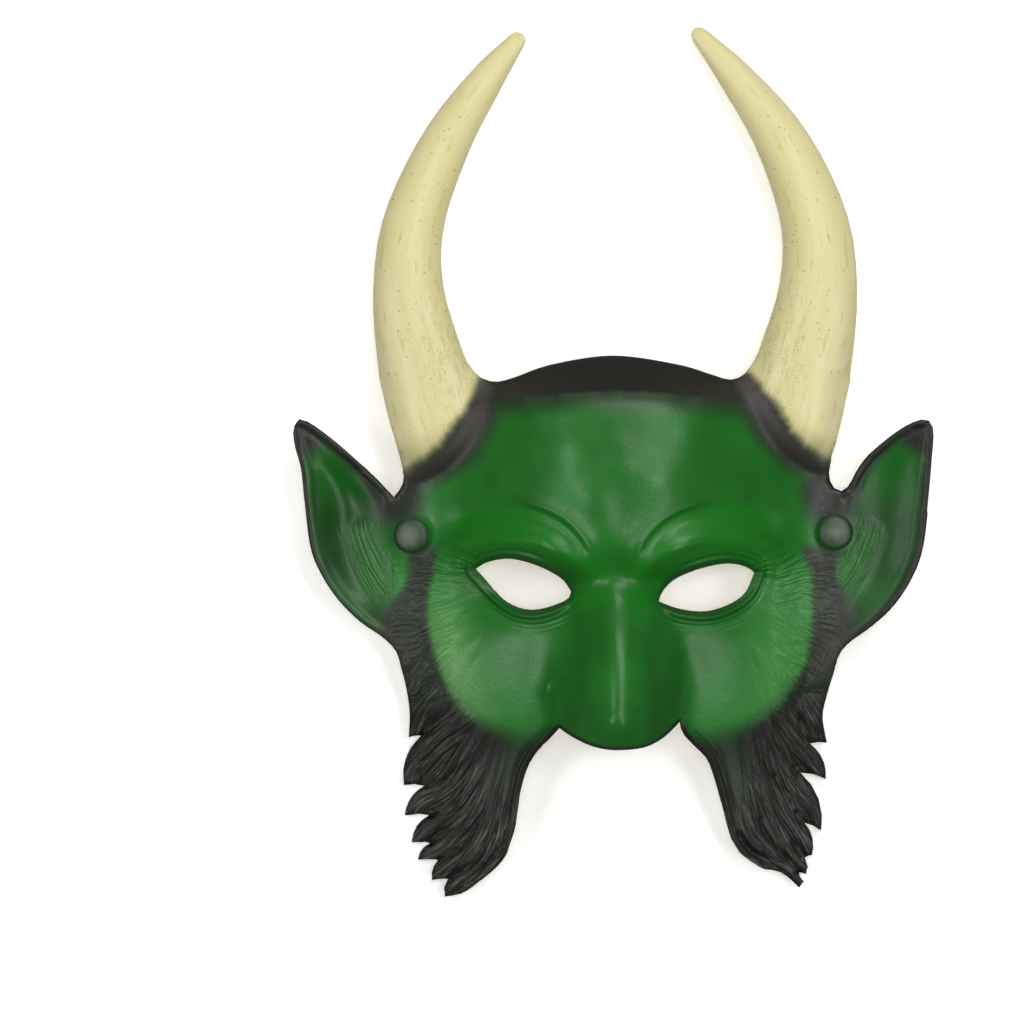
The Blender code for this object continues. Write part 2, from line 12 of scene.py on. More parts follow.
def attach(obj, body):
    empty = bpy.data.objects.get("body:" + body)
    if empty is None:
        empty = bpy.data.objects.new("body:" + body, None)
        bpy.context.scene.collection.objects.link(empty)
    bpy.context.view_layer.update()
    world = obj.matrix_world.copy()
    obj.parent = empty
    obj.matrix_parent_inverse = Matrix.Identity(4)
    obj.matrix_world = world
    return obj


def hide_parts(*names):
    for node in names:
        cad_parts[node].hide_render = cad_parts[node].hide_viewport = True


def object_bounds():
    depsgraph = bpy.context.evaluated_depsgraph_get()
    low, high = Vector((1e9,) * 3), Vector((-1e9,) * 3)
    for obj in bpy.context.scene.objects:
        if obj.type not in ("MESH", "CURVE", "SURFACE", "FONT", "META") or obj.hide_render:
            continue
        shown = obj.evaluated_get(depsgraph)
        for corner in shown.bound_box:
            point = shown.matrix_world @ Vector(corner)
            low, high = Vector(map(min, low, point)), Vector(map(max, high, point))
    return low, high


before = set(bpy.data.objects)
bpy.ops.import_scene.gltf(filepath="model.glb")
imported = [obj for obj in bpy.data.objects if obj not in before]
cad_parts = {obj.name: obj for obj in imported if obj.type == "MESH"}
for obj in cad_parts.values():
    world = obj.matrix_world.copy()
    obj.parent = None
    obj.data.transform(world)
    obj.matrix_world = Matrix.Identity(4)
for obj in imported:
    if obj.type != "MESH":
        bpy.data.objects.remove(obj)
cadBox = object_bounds()
print("frame loaded:", sorted(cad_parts))


# small tools

def linear(hexColour):
    parts = [int(hexColour[i:i + 2], 16) / 255 for i in (1, 3, 5)]
    return (*[c / 12.92 if c <= 0.04045 else ((c + 0.055) / 1.055) ** 2.4 for c in parts], 1)


def addNode(tree, kind, settings=(), links=()):
    node = tree.nodes.new(kind)
    for key, value in dict(settings).items():
        if isinstance(key, str) and hasattr(node, key):
            setattr(node, key, value)
        else:
            node.inputs[key].default_value = value
    for key, socket in dict(links).items():
        tree.links.new(socket, node.inputs[key])
    return node


def newMaterial(name):
    material = bpy.data.materials.new(name)
    material.use_nodes = True
    return material, material.node_tree, material.node_tree.nodes["Principled BSDF"]


def ramp(low, high, value):
    t = np.clip((value - low) / (high - low), 0, 1)
    return t * t * (3 - 2 * t)


def bell(value, width):
    return np.exp(-(value / width) ** 2)


def smoothCurve(points, cuts=6):
    points = np.array(points, float)
    before = np.vstack([2 * points[0] - points[1], points[:-1]])
    after = np.vstack([points[1:], 2 * points[-1] - points[-2]])
    slope = (after - before) / 2
    made = []
    for i in range(len(points) - 1):
        for t in np.arange(cuts) / cuts:
            made.append((1 + 2 * t) * (1 - t) ** 2 * points[i] + t * (1 - t) ** 2 * slope[i]
                        + t * t * (3 - 2 * t) * points[i + 1] + t * t * (t - 1) * slope[i + 1])
    return np.array([*made, points[-1]])


def nearCurve(u, y, points):
    # distance to the curve, how far along it in mm, and +1 on its left or -1 on its right
    curve = smoothCurve(points)
    best, along, hand = np.full(u.shape, 1e9), np.zeros(u.shape), np.ones(u.shape)
    run = 0.0
    for a, b in zip(curve[:-1, :2], curve[1:, :2]):
        dx, dy = b - a
        length = math.hypot(dx, dy)
        t = np.clip(((u - a[0]) * dx + (y - a[1]) * dy) / length ** 2, 0, 1)
        off = np.hypot(u - a[0] - t * dx, y - a[1] - t * dy)
        closer = off < best
        best = np.where(closer, off, best)
        along = np.where(closer, run + t * length, along)
        hand = np.where(closer, np.where(dx * (y - a[1]) - dy * (u - a[0]) > 0, 1, -1), hand)
        run += length
    return best, along, hand


# smooth random heights, the same on every run
noiseGrids = np.random.default_rng(11).random((4, 128, 128))


def noise(x, y, size, grid=0):
    # bumps about size mm across, from -1 to 1
    gx, gy = np.asarray(x) / size, np.asarray(y) / size
    ix, iy = np.floor(gx).astype(int), np.floor(gy).astype(int)
    fx, fy = gx - ix, gy - iy
    fx, fy = fx * fx * (3 - 2 * fx), fy * fy * (3 - 2 * fy)
    table = noiseGrids[grid]
    corner = [[table[(ix + i) % 128, (iy + j) % 128] for j in (0, 1)] for i in (0, 1)]
    low = corner[0][0] * (1 - fy) + corner[0][1] * fy
    high = corner[1][0] * (1 - fy) + corner[1][1] * fy
    return 2 * (low * (1 - fx) + high * fx) - 1


# the mask's skin: smooth surface, carving and paint

maskLook = {
    # how finely the skin is split and how much it is smoothed
    "plainRounds": 2,        # times each face of the front is split in four
    "fineRounds": 3,         # the same in the whiskers and round the eyes
    "hairStart": -100.0,     # height below which the skin is split finest, mm
    "eyeZone": (38.0, -51.0, 31.0, 19.0),    # and round each eye: middle and half sizes
    "smoothing": 22,         # rounds of relaxing that take out the facets
    "softRounds": 110,       # more rounds in the cup of the right ear and along the ridge of the nose
    # carving, in mm: heights and depths, then widths
    "thinnestWall": 1.2,     # foam left over the back under the deepest carving
    "edgeRound": 1.5,        # the cut edge rolls over
    "edgeDrop": 0.75,
    "unevenness": 0.16,      # hand-made waviness all over
    "foreheadBumps": [(-18.0, 3, 0.8, 9), (-9.4, -15.6, 0.9, 8), (2.6, 0.4, 1.3, 9), (18.6, -8.4, 1.3, 10),
                      (29.8, 4, 0.8, 8), (2.6, -24, -0.9, 8)],    # x, y, height, width
    "noseFill": (1.5, 6.0),      # softens the corner between nose and cheek
    "noseRidge": (0.5, 9.0),     # broadens the ridge of the nose
    "noseCrest": (4.0, -90, 0.35),    # x, y and height of a swelling that leads the ridge to one side
    "browEdge": (0.75, 1.2),
    "lidDrop": (1.2, 2.3),       # the rim of the eye hole dips over this width
    "lidFolds": [(2.7, 0.85, 0.7), (4.5, -1.05, 0.9)],    # distance from the eye hole, height, width
    "lidLines": [(6.0, 0.2, 0.5), (6.9, -0.26, 0.45), (7.7, 0.12, 0.4), (8.5, -0.18, 0.45)],
    "wrinkleDepth": 0.25,
    "noseFoldHeight": (0.55, 0.9),
    "crownLine": (0.3, 0.9),
    "collarSwell": (1.0, 4.0),
    "earBead": [(1.8, 0.4, 1.3), (4.3, -0.45, 1.6)],      # distance from the edge, height, width
    "earTopBead": [(1.4, 0.7, 1.1), (3.2, -0.6, 1.0)],
    "jawBead": [(2.1, 0.45, 0.7), (3.6, -0.5, 0.9)],
    "rippleHeight": 0.9,     # beside the ear's ridge
    "lockDepth": 1.5,        # the valleys between locks of hair
    "strandDepth": 0.5,
    "creaseDepth": 1.3,
    # where things are on each side of the picture, in mm outwards and up
    "eyes": {"left": (37, -50), "right": (38, -51)},
    "eyeSlope": (0.36, 0.30),
    "studs": {"left": (80.4, -29.6), "right": (88.8, -28.4)},
    "crownCrease": (27.6, 0.0018),    # height at the middle, and how it falls off with the square of u
    # middle and half sizes
    "cheekPatch": {"left": (36.5, -59.6, 37.5, 50.0), "right": (37.5, -59.6, 43.0, 50.0)},
    "browLip": [(69, -31), (64.2, -21.4), (51.4, -15.6), (39, -15.8), (27.4, -18.8), (18.2, -24), (11, -32.4),
               (8, -41)],
    "upperFold": {"left": [(25.4, -89), (26.2, -91.6), (27.4, -94.4)], "right": [(28, -92), (28.8, -95)]},
    "lowerFold": {"left": [(22.2, -94.6), (22.6, -97.4), (23.8, -100.6)], "right": [(27, -96.6), (27.8, -100)]},
    "noseFoot": [(12.5, -42), (17, -58), (21.5, -74), (25, -90)],
    "earLine": [(119, 10), (111, 5.6), (103, 0), (96.5, -8), (91, -17), (87.5, -28)],
    "earRidge": [(103, -22), (101, -31), (96.5, -42), (91, -51), (86, -58)],
    "collar": {
        "left": [(106, -18), (90, -13), (75.6, -7.6), (65.6, -2), (56.4, 6.4), (50.8, 16.4), (47.6, 26.4),
                 (45.4, 36), (43, 60)],
        "right": [(106, -13), (91, -7.6), (78.4, -3.6), (68.4, 2.4), (60.4, 10.4), (54.4, 19.6), (49.6, 27.6),
                  (44.6, 36), (42, 60)],
    },
    "horn": {
        "left": [(61, -8), (69.6, 14.4), (77, 39), (82.2, 68), (80, 96.4), (67, 128.4), (50.6, 154),
                 (38.6, 169.4)],
        "right": [(62, -8), (70.4, 14.4), (76.6, 39), (82.2, 68), (80.8, 96.4), (68, 128.4), (50, 154),
                  (34.8, 171.6)],
    },
    "earTop": {
        "left": [(88, -14.4), (95.6, -6.4), (105.6, 2.8), (113.6, 9.6), (121.6, 15.4), (125.8, 16.8)],
        "right": [(91.6, -12), (94.6, -9.8), (98.4, -2.8), (103.2, 3.2), (111.2, 10), (118.4, 14.8),
                  (123.4, 16.7)],
    },
    "earBack": {
        "left": [(125.8, 16.8), (128.2, 13), (127.6, 6), (125.2, -3), (123.8, -16), (121.4, -34.8),
                 (117.2, -45.2), (110.4, -55.6), (101.6, -64.4), (92.4, -70.8), (87.2, -76.4)],
        "right": [(123.4, 16.7), (127, 15.8), (128.3, 11), (127.6, 0), (126.2, -15.6), (124, -34.8),
                  (119.2, -47.6), (111.6, -58.8), (102.4, -67.2), (94.8, -72.8), (90.8, -77.8)],
    },
    "jaw": {
        "left": [(22.2, -106.3), (26, -111), (30.8, -116.4), (34.4, -122.4), (37, -131), (38.5, -140.2),
                 (40.2, -150), (44.6, -160.6), (54.4, -169.6), (66, -175)],
        "right": [(26.7, -103.8), (28, -108.8), (32.4, -114), (37.6, -119.4), (40.6, -127), (43, -135.2),
                  (45.4, -144.6), (49.2, -154.6), (54.4, -159.8), (66.7, -165.1), (74, -171)],
    },
    # the middle lines of the locks of hair, from tip to root, and the deep creases between them
    "locks": {
        "left": [
            [(83.8, -79.6), (80.6, -74.8), (77, -70.8), (72.6, -66.8)],
            [(81, -91.6), (78.2, -86.8), (75, -82.8), (71, -78), (66.2, -73.6)],
            [(81.8, -110.8), (79.4, -104.4), (75.8, -98.4), (71, -93.2), (64.6, -87.6)],
            [(83.4, -130.4), (81.4, -123.6), (75.4, -116.4), (69.4, -110.8), (63, -106), (55.4, -101.2),
             (47.8, -96.8)],
            [(82.6, -142.8), (77.4, -136.8), (69.4, -132.4), (63.4, -126.4), (58.2, -118.4), (52.6, -109.6),
             (47.4, -101.6), (41.4, -94.8)],
            [(80.2, -153.6), (74.2, -147.6), (66.6, -142), (60.6, -135.6), (55.4, -127.6), (50.2, -117.6),
             (46.6, -106.8), (43, -95.6)],
            [(77.8, -158.8), (70.2, -155.6), (63.4, -150), (57.4, -143.6), (52.6, -135.6), (48.6, -125.6),
             (45.4, -113.6), (42.6, -100.4)],
            [(72.6, -168), (67, -164), (60.2, -158.8), (54.2, -150.8), (49.8, -140.4), (46.6, -127.6),
             (43.8, -115.6), (40.6, -101.6)],
            [(67, -174.8), (60.6, -169.2), (53.4, -162), (48.6, -152.4), (45.4, -140.4), (43, -127.6),
             (39.8, -117.6), (35.8, -105.6), (32.6, -95.6)],
        ],
        "right": [
            [(86.2, -75.6), (84.2, -81.2), (81.8, -86), (77.8, -91.6)],
            [(86.6, -113.2), (85, -106.8), (81.8, -100.4), (77.8, -94), (73, -87.6)],
            [(87, -127.2), (83.4, -122.8), (77.8, -116.4), (73, -110.8), (68.2, -104.4), (63.4, -98)],
            [(84.2, -148.8), (82.6, -141.6), (77, -134), (71.4, -125.6), (66.6, -116.4), (62.6, -107.6),
             (59.4, -98)],
            [(80.2, -158.4), (77, -150.8), (72.2, -142.8), (67.4, -133.6), (63.4, -123.6), (60.2, -113.6),
             (57.4, -101.6)],
            [(79, -164.8), (73.8, -159.6), (68.2, -151.6), (63.4, -141.6), (59.4, -130.8), (56.6, -119.6),
             (54.6, -107.6), (52.6, -97.6)],
            [(75.8, -171.2), (70.6, -165.2), (61.8, -158.8), (55.4, -150.8), (51.4, -140.4), (49.8, -129.6),
             (48.6, -119.6), (46.6, -109.6), (43.4, -97.6)],
        ],
    },
    "deepCreases": {
        "left": [
            [(77, -110.4), (73.8, -110.4), (73.4, -107.2)],
            [(78.2, -121.6), (73.4, -117.6), (68.6, -113.6), (64.6, -110), (59, -106.4)],
            [(75.4, -131.2), (71.8, -129.6), (66.6, -128), (63, -124), (60.2, -120.4)],
            [(73.4, -142), (70.2, -142.4), (65.4, -139.6), (61, -136.4)],
            [(73.4, -153.6), (70.2, -150.8), (65, -147.6)],
            [(70.2, -160.4), (66.2, -157.6), (60.2, -155.2)],
            [(65.8, -168), (63, -165.6), (59, -164)],
        ],
        "right": [
            [(79.8, -112.8), (77.4, -111.6), (75.8, -106.8), (76.2, -100.4)],
            [(75, -126.8), (73.4, -124), (75.8, -122.8)],
            [(77.4, -145.6), (75, -143.2), (73.4, -139.6)],
            [(77.8, -160), (73.8, -155.2), (71.4, -152)],
            [(59.8, -144.4), (61.8, -149.6), (65, -154), (69, -158.4), (75, -164.4)],
            [(51.4, -150.8), (55.4, -156.4), (62.6, -161.2), (70.6, -164.8)],
            [(65.8, -126.8), (68.6, -131.6), (71.4, -136)],
        ],
    },
}


def splitInFour(bm, edges, normalOf):
    # each new middle point is lifted off its edge onto the curved skin that the normals at its ends describe
    places = {}
    for edge in edges:
        a, b = edge.verts
        middle = (a.co + b.co) / 2
        place = middle.copy()
        if a in normalOf and b in normalOf and not edge.tag:
            for v in (a, b):
                place -= 0.25 * (middle - v.co).dot(normalOf[v]) * normalOf[v]
        places[tuple(round(c * 1e7) for c in middle)] = place
    before = len(bm.verts)
    bmesh.ops.subdivide_edges(bm, edges=edges, cuts=1, use_grid_fill=True)
    bm.verts.index_update()
    for v in bm.verts:
        if v.index >= before:
            v.co = places.get(tuple(round(c * 1e7) for c in v.co), v.co)
    bmesh.ops.triangulate(bm, faces=[f for f in bm.faces if len(f.verts) > 3])


def skinNormals(faces):
    normals = {}
    for face in faces:
        for v in face.verts:
            normals[v] = normals.get(v, Vector()) + face.normal * face.calc_area()
    return {v: n.normalized() for v, n in normals.items()}


def smoothSkin(nodeName, look):
    # the CAD solid's front is split finely, its back once, and the walls between them follow
    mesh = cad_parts[nodeName].data.copy()
    mesh.name = "maskSkin"
    bm = bmesh.new()
    bm.from_mesh(mesh)
    bmesh.ops.remove_doubles(bm, verts=bm.verts, dist=2e-6)
    part = bm.faces.layers.int.new("sheet")   # 1 front, 2 back, 0 wall
    studs = [(-look["studs"]["left"][0], look["studs"]["left"][1]), look["studs"]["right"]]
    for face in bm.faces:
        middle = face.calc_center_median() * 1000
        bore = min(math.hypot(middle.x - x, middle.y - y) for x, y in studs) < 3.4 and abs(face.normal.z) < 0.6
        face[part] = 0 if bore or abs(face.normal.z) < 0.02 else (1 if face.normal.z > 0 else 2)
    eyeU, eyeY, eyeWide, eyeHigh = look["eyeZone"]
    for turn in range(look["fineRounds"]):
        bm.normal_update()
        front = [f for f in bm.faces if f[part] == 1]
        back = [f for f in bm.faces if f[part] == 2]
        normalOf = skinNormals(back)
        normalOf.update(skinNormals(front))
        for edge in bm.edges:
            kinds = {f[part] for f in edge.link_faces}
            edge.tag = 0 in kinds          # an edge on the outline stays straight
        chosen = {e for f in front for e in f.edges}
        if turn == 0:
            chosen |= {e for f in back for e in f.edges}
        if turn >= look["plainRounds"]:
            middles = {e: (e.verts[0].co + e.verts[1].co) * 500 for e in chosen}
            chosen = {e for e, m in middles.items() if m.y < look["hairStart"]
                      or math.hypot((abs(m.x) - eyeU) / eyeWide, (m.y - eyeY) / eyeHigh) < 1}
        splitInFour(bm, list(chosen), normalOf)
    bm.to_mesh(mesh)
    bm.free()
    return mesh


def relaxed(co, tri, free, rounds):
    # points move towards the middle of their neighbours, which takes out the facets of the solid
    count = np.zeros(len(co))
    for k in range(3):
        np.add.at(count, tri[:, k], 2)
    for _ in range(rounds):
        total = np.zeros(co.shape)
        for k in range(3):
            np.add.at(total, tri[:, k], co[tri[:, k - 1]] + co[tri[:, k - 2]])
        co = co + free[:, None] * (total / np.maximum(count, 1)[:, None] - co)
    return co


def sides(x):
    return {"left": x < 0, "right": x >= 0}


def measured(x, y, look, what):
    # distance, run and side of each point from the curve on its own side of the face
    u = np.abs(x)
    result = [np.zeros(x.shape) for _ in range(3)]
    for name, here in sides(x).items():
        curve = look[what][name] if isinstance(look[what], dict) else look[what]
        for total, value in zip(result, nearCurve(u[here], y[here], curve)):
            total[here] = value
    return result


def distances(places, targets):
    tree = KDTree(len(targets))
    for i, p in enumerate(targets):
        tree.insert(p, i)
    tree.balance()
    return np.array([tree.find(p)[2] for p in places])


def bySide(left, values):
    # the left side's or the right side's numbers for each point
    return [np.where(left, a, b) for a, b in zip(values["left"], values["right"])]


def nearLock(u, y, locks):
    # run up the nearest lock, signed distance across it, and distance to its border with the second nearest
    found = [nearCurve(u, y, lock) for lock in locks]
    off, run, hand = [np.array([row[i] for row in found]) for i in range(3)]
    order = np.argsort(off, axis=0)
    nearest, second = [np.take_along_axis(off, order[i:i + 1], 0)[0] for i in (0, 1)]
    run, hand = [np.take_along_axis(values, order[:1], 0)[0] for values in (run, hand)]
    return run, nearest * hand + 31.0 * order[0], (second - nearest) / 2    # 31 mm apart, so no two locks match


def maskFacts(co, outline, look):
    # everything that carving and paint ask about each point
    x, y = co[:, 0], co[:, 1]
    u, left = np.abs(x), x < 0
    f = {"x": x, "y": y, "u": u, "left": left}
    flat = [(a, b, 0) for a, b in co[:, :2]]
    byEye = [(a, b, 0) for a, b in outline if abs(a) < 60 and -63 < b < -37]
    f["edge"] = distances(flat, [(a, b, 0) for a, b in outline if not (abs(a) < 60 and -63 < b < -37)])
    f["eye"] = distances(flat, [place for place in byEye if abs(place[0]) > 14])
    eyeU, eyeY = bySide(left, look["eyes"])
    f["belowEye"] = ramp(2, -3, y - eyeY - (u - eyeU) * np.where(left, *look["eyeSlope"]))
    f["eyeOut"] = u - eyeU
    f["aboveCrown"] = y - look["crownCrease"][0] + look["crownCrease"][1] * u * u
    # horns: up from the collar, and along and across the horn
    off, f["collarRun"], hand = measured(x, y, look, "collar")
    f["upHorn"] = -off * hand
    off, along, hand = measured(x, y, look, "horn")
    f["hornAcross"], f["hornAlong"] = off * hand, along - 24
    f["hornGrain"] = ramp(85, 20, f["hornAlong"]) * ramp(-8, 6, f["hornAcross"])
    f["nearHorn"] = np.where(y > 60, 1.0, ramp(34, 26, off) * ((y > 10) | (off < 30)))
    # ears, jaw, brows and nose
    f["earTop"] = measured(x, y, look, "earTop")[0]
    f["earBack"] = measured(x, y, look, "earBack")[0]
    f["onEar"] = ramp(86, 92, u - np.where(left, 0, 2)) * ramp(22, 18, y) * (y > -80)
    off, f["earLineRun"], hand = measured(x, y, look, "earLine")
    f["earLine"] = off * hand
    f["earRidge"], f["earRidgeRun"], f["earSide"] = measured(x, y, look, "earRidge")
    f["jaw"] = measured(x, y, look, "jaw")[0]
    off, f["lipRun"], hand = measured(x, y, look, "browLip")
    f["underLip"] = off * hand
    f["noseFold"] = np.minimum(measured(x, y, look, "upperFold")[0], measured(x, y, look, "lowerFold")[0])
    f["noseFoot"] = measured(x, y, look, "noseFoot")[0]
    studU, studY = bySide(left, look["studs"])
    f["stud"] = np.hypot(u - studU, y - studY)
    f["clear"] = ramp(8.2, 11, f["stud"])    # nothing is carved under the studs
    patchU, patchY, patchWide, patchHigh = bySide(left, look["cheekPatch"])
    f["patch"] = np.hypot((u - patchU) / patchWide, (y - patchY) / patchHigh)
    # hair begins outside the cheek, below the ear; above it a wrinkled band leads up to the stud
    f["hair"] = ramp(0.98, 1.16, f["patch"]) * ramp(-64, -90, y) * ramp(20, 30, u)
    f["band"] = ramp(0.96, 1.1, f["patch"]) * ramp(-34, -46, y) * ramp(94, 84, u) * (u > 55)
    run, across, border, deep = [np.zeros(x.shape) for _ in range(4)]
    for name, here in sides(x).items():
        locks = [*look["locks"][name], look["jaw"][name][::-1]]
        run[here], across[here], border[here] = nearLock(u[here], y[here], locks)
        for curve in look["deepCreases"][name]:
            off, along, _ = nearCurve(u[here], y[here], curve)
            length = np.hypot(*np.diff(smoothCurve(curve), axis=0).T).sum()
            deep[here] = np.maximum(deep[here], bell(off, 1.25) * ramp(length, 0.6 * length, along))
    f["lockRun"], f["lockAcross"], f["lockBorder"], f["deepCrease"] = run, across, border, deep
    # strands fade out under the cheek and over the inner side of the whisker's root
    root = np.hypot((u - 44) / 13, (y + 121) / 24)
    f["combed"] = (f["hair"] * (0.3 + 0.7 * ramp(1.02, 1.4, f["patch"])) * np.where(left, 1.0, 0.65)
                   * (1 - 0.9 * ramp(1.25, 0.55, root)))
    # wrinkles fan out from the eye; on the ear they run with its ridge
    ridge = f["onEar"] > 0.5
    fanAlong = np.hypot(u - 30, y + 50)
    fanAcross = 34 * np.arctan2(y + 50, np.maximum(u - 30, 2)) + 1.2 * noise(x, y, 13, 2)
    f["wrinkled"] = ramp(0.05, 0.4, np.abs(f["onEar"] - 0.5)) * f["clear"]
    f["wrinkleAlong"] = np.where(ridge, 0.35 * f["earRidgeRun"], fanAlong)
    f["wrinkleAcross"] = np.where(ridge, f["earRidge"] * f["earSide"], fanAcross)
    return f


def ridges(distance, rows):
    # raised and sunk lines beside a curve: place, height and width of each
    return sum(height * bell(distance - place, width) for place, height, width in rows)


def carve(f, look):
    # heights of the carving in mm, along the skin's own normal
    x, y, u = f["x"], f["y"], f["u"]
    # hand-made unevenness, which breaks up the sheen
    h = look["unevenness"] * (noise(x, y, 16, 0) + 0.4 * noise(x + 40, y, 7, 2))
    for atX, atY, height, width in look["foreheadBumps"]:
        h += height * bell(np.hypot(x - atX, y - atY), width)
    # nose: soft at its foot, broad along its ridge, with a swelling near the tip and small folds in its corners
    height, width = look["noseFill"]
    h += height * bell(f["noseFoot"], width) * ramp(-46, -56, y) * ramp(-104, -96, y)
    height, width = look["noseRidge"]
    h += height * bell(x - 1.5, width) * ramp(-56, -68, y) * ramp(-114, -104, y)
    crestX, crestY, height = look["noseCrest"]
    h += height * bell(np.hypot((x - crestX) / 9, (y - crestY) / 14), 1)
    height, width = look["noseFoldHeight"]
    h += height * bell(f["noseFold"], width)
    # brow: a fine edge over its inner half
    height, width = look["browEdge"]
    h += height * bell(f["underLip"], width) * ramp(36, 46, f["lipRun"]) * ramp(79, 72, f["lipRun"])
    # lids: the rim dips to the hole, with ridges and creases round it
    low, e, out = f["belowEye"], f["eye"], f["eyeOut"]
    drop, width = look["lidDrop"]
    h -= drop * ramp(width, 0, e)
    inner = ramp(-24, -13, out)
    h += low * inner * ridges(e, look["lidFolds"])
    h += low * inner * ramp(20, 8, out) * ridges(e, look["lidLines"])
    h += (1 - low) * ramp(-16, -4, out) * ridges(e, [(2.3, 0.25, 0.6), (3.5, -0.4, 0.6)])
    h += (1 - low) * ramp(6, 14, out) * ridges(e, [(4.5, 0.2, 0.45), (5.5, -0.3, 0.5)])
    # creases at the outer corners, over the temples and down to the hair
    creased = (ramp(14, 24, out) * ramp(-29, -38, y) * ramp(-106, -84, y) * (1 - f["onEar"]) * f["clear"]
               * ramp(2, 5, e))
    creased = np.maximum(creased, f["band"] * f["wrinkled"])
    corner = 0.7 * bell(np.hypot(u - 60, y + 45), 6) * ramp(2, 5, e)
    h += look["wrinkleDepth"] * (creased + corner) * noise(f["wrinkleAlong"] * 0.14, f["wrinkleAcross"], 1.8, 1)
    # crown: a fine line along its edge
    height, width = look["crownLine"]
    h += ramp(60, 50, u) * height * bell(f["aboveCrown"], width)
    # collar of the horn: swollen band, puckered towards the horn
    up, collar = f["upHorn"], f["nearHorn"]
    height, width = look["collarSwell"]
    h += collar * height * bell(up - 5.5, width)
    puckers = 0.4 * noise(f["collarRun"], up * 0.2, 4.2, 2) + 0.25 * noise(f["collarRun"], up * 0.2, 1.9, 1)
    h += collar * bell(up - 8.5, 3.4) * puckers
    # horn: long flat facets, and crossed grain on its inner side near the foot
    horn, across, along = collar * ramp(9, 17, up), f["hornAcross"], f["hornAlong"]
    grain = noise(across, along * 0.12, 1.3, 1) + 0.6 * noise(across * 0.2, along, 1.2, 2)
    h += horn * (0.3 * noise(across, along * 0.05, 6.5, 3) + 0.1 * f["hornGrain"] * grain)
    # ear: a bead round the rim and a groove inside it, a lip along the top of the cup, strokes beside the face
    ear = f["onEar"]
    h += ear * (0.8 + 0.4 * noise(x, y, 7, 3)) * ridges(f["earBack"], look["earBead"])
    h += ear * (u > 92) * ridges(f["earTop"], look["earTopBead"])
    lineEnds = ramp(0, 6, f["earLineRun"]) * ramp(46, 38, f["earLineRun"])
    h += lineEnds * f["clear"] * ridges(f["earLine"], [(0, 0.15, 1.0), (2.2, -0.2, 1.5)])
    ripple = bell(f["earRidge"], 7.0) * ramp(0, 8, f["earRidgeRun"]) * f["clear"] * ramp(4, 8, f["earBack"])
    strokes = noise(f["earRidge"] * f["earSide"], f["earRidgeRun"] * 0.14, 2.0, 1)
    h += ripple * (look["rippleHeight"] + 0.35 * strokes)
    # hair: rounded locks parted by creases, with strands along each lock
    run, across = f["lockRun"], f["lockAcross"]
    h += (f["hair"] * look["lockDepth"] * (0.25 + 0.75 * ramp(44, 8, run))
          * (ramp(-0.4, 2.6, f["lockBorder"]) - 1))
    h += (f["combed"] * look["strandDepth"]
          * (noise(across, run * 0.045, 2.4, 2) + 0.6 * noise(across, run * 0.06, 1.3, 1)))
    h -= look["creaseDepth"] * f["deepCrease"]
    # jaw: a fine raised line runs just inside its edge
    h += ramp(-100, -108, y) * ramp(22, 27, u) * ridges(f["jaw"], look["jawBead"])
    # cut edges roll over
    h -= look["edgeDrop"] * ramp(look["edgeRound"], 0, f["edge"]) * (up <= 14)
    return np.where(f["stud"] < 7.6, 0.0, h)


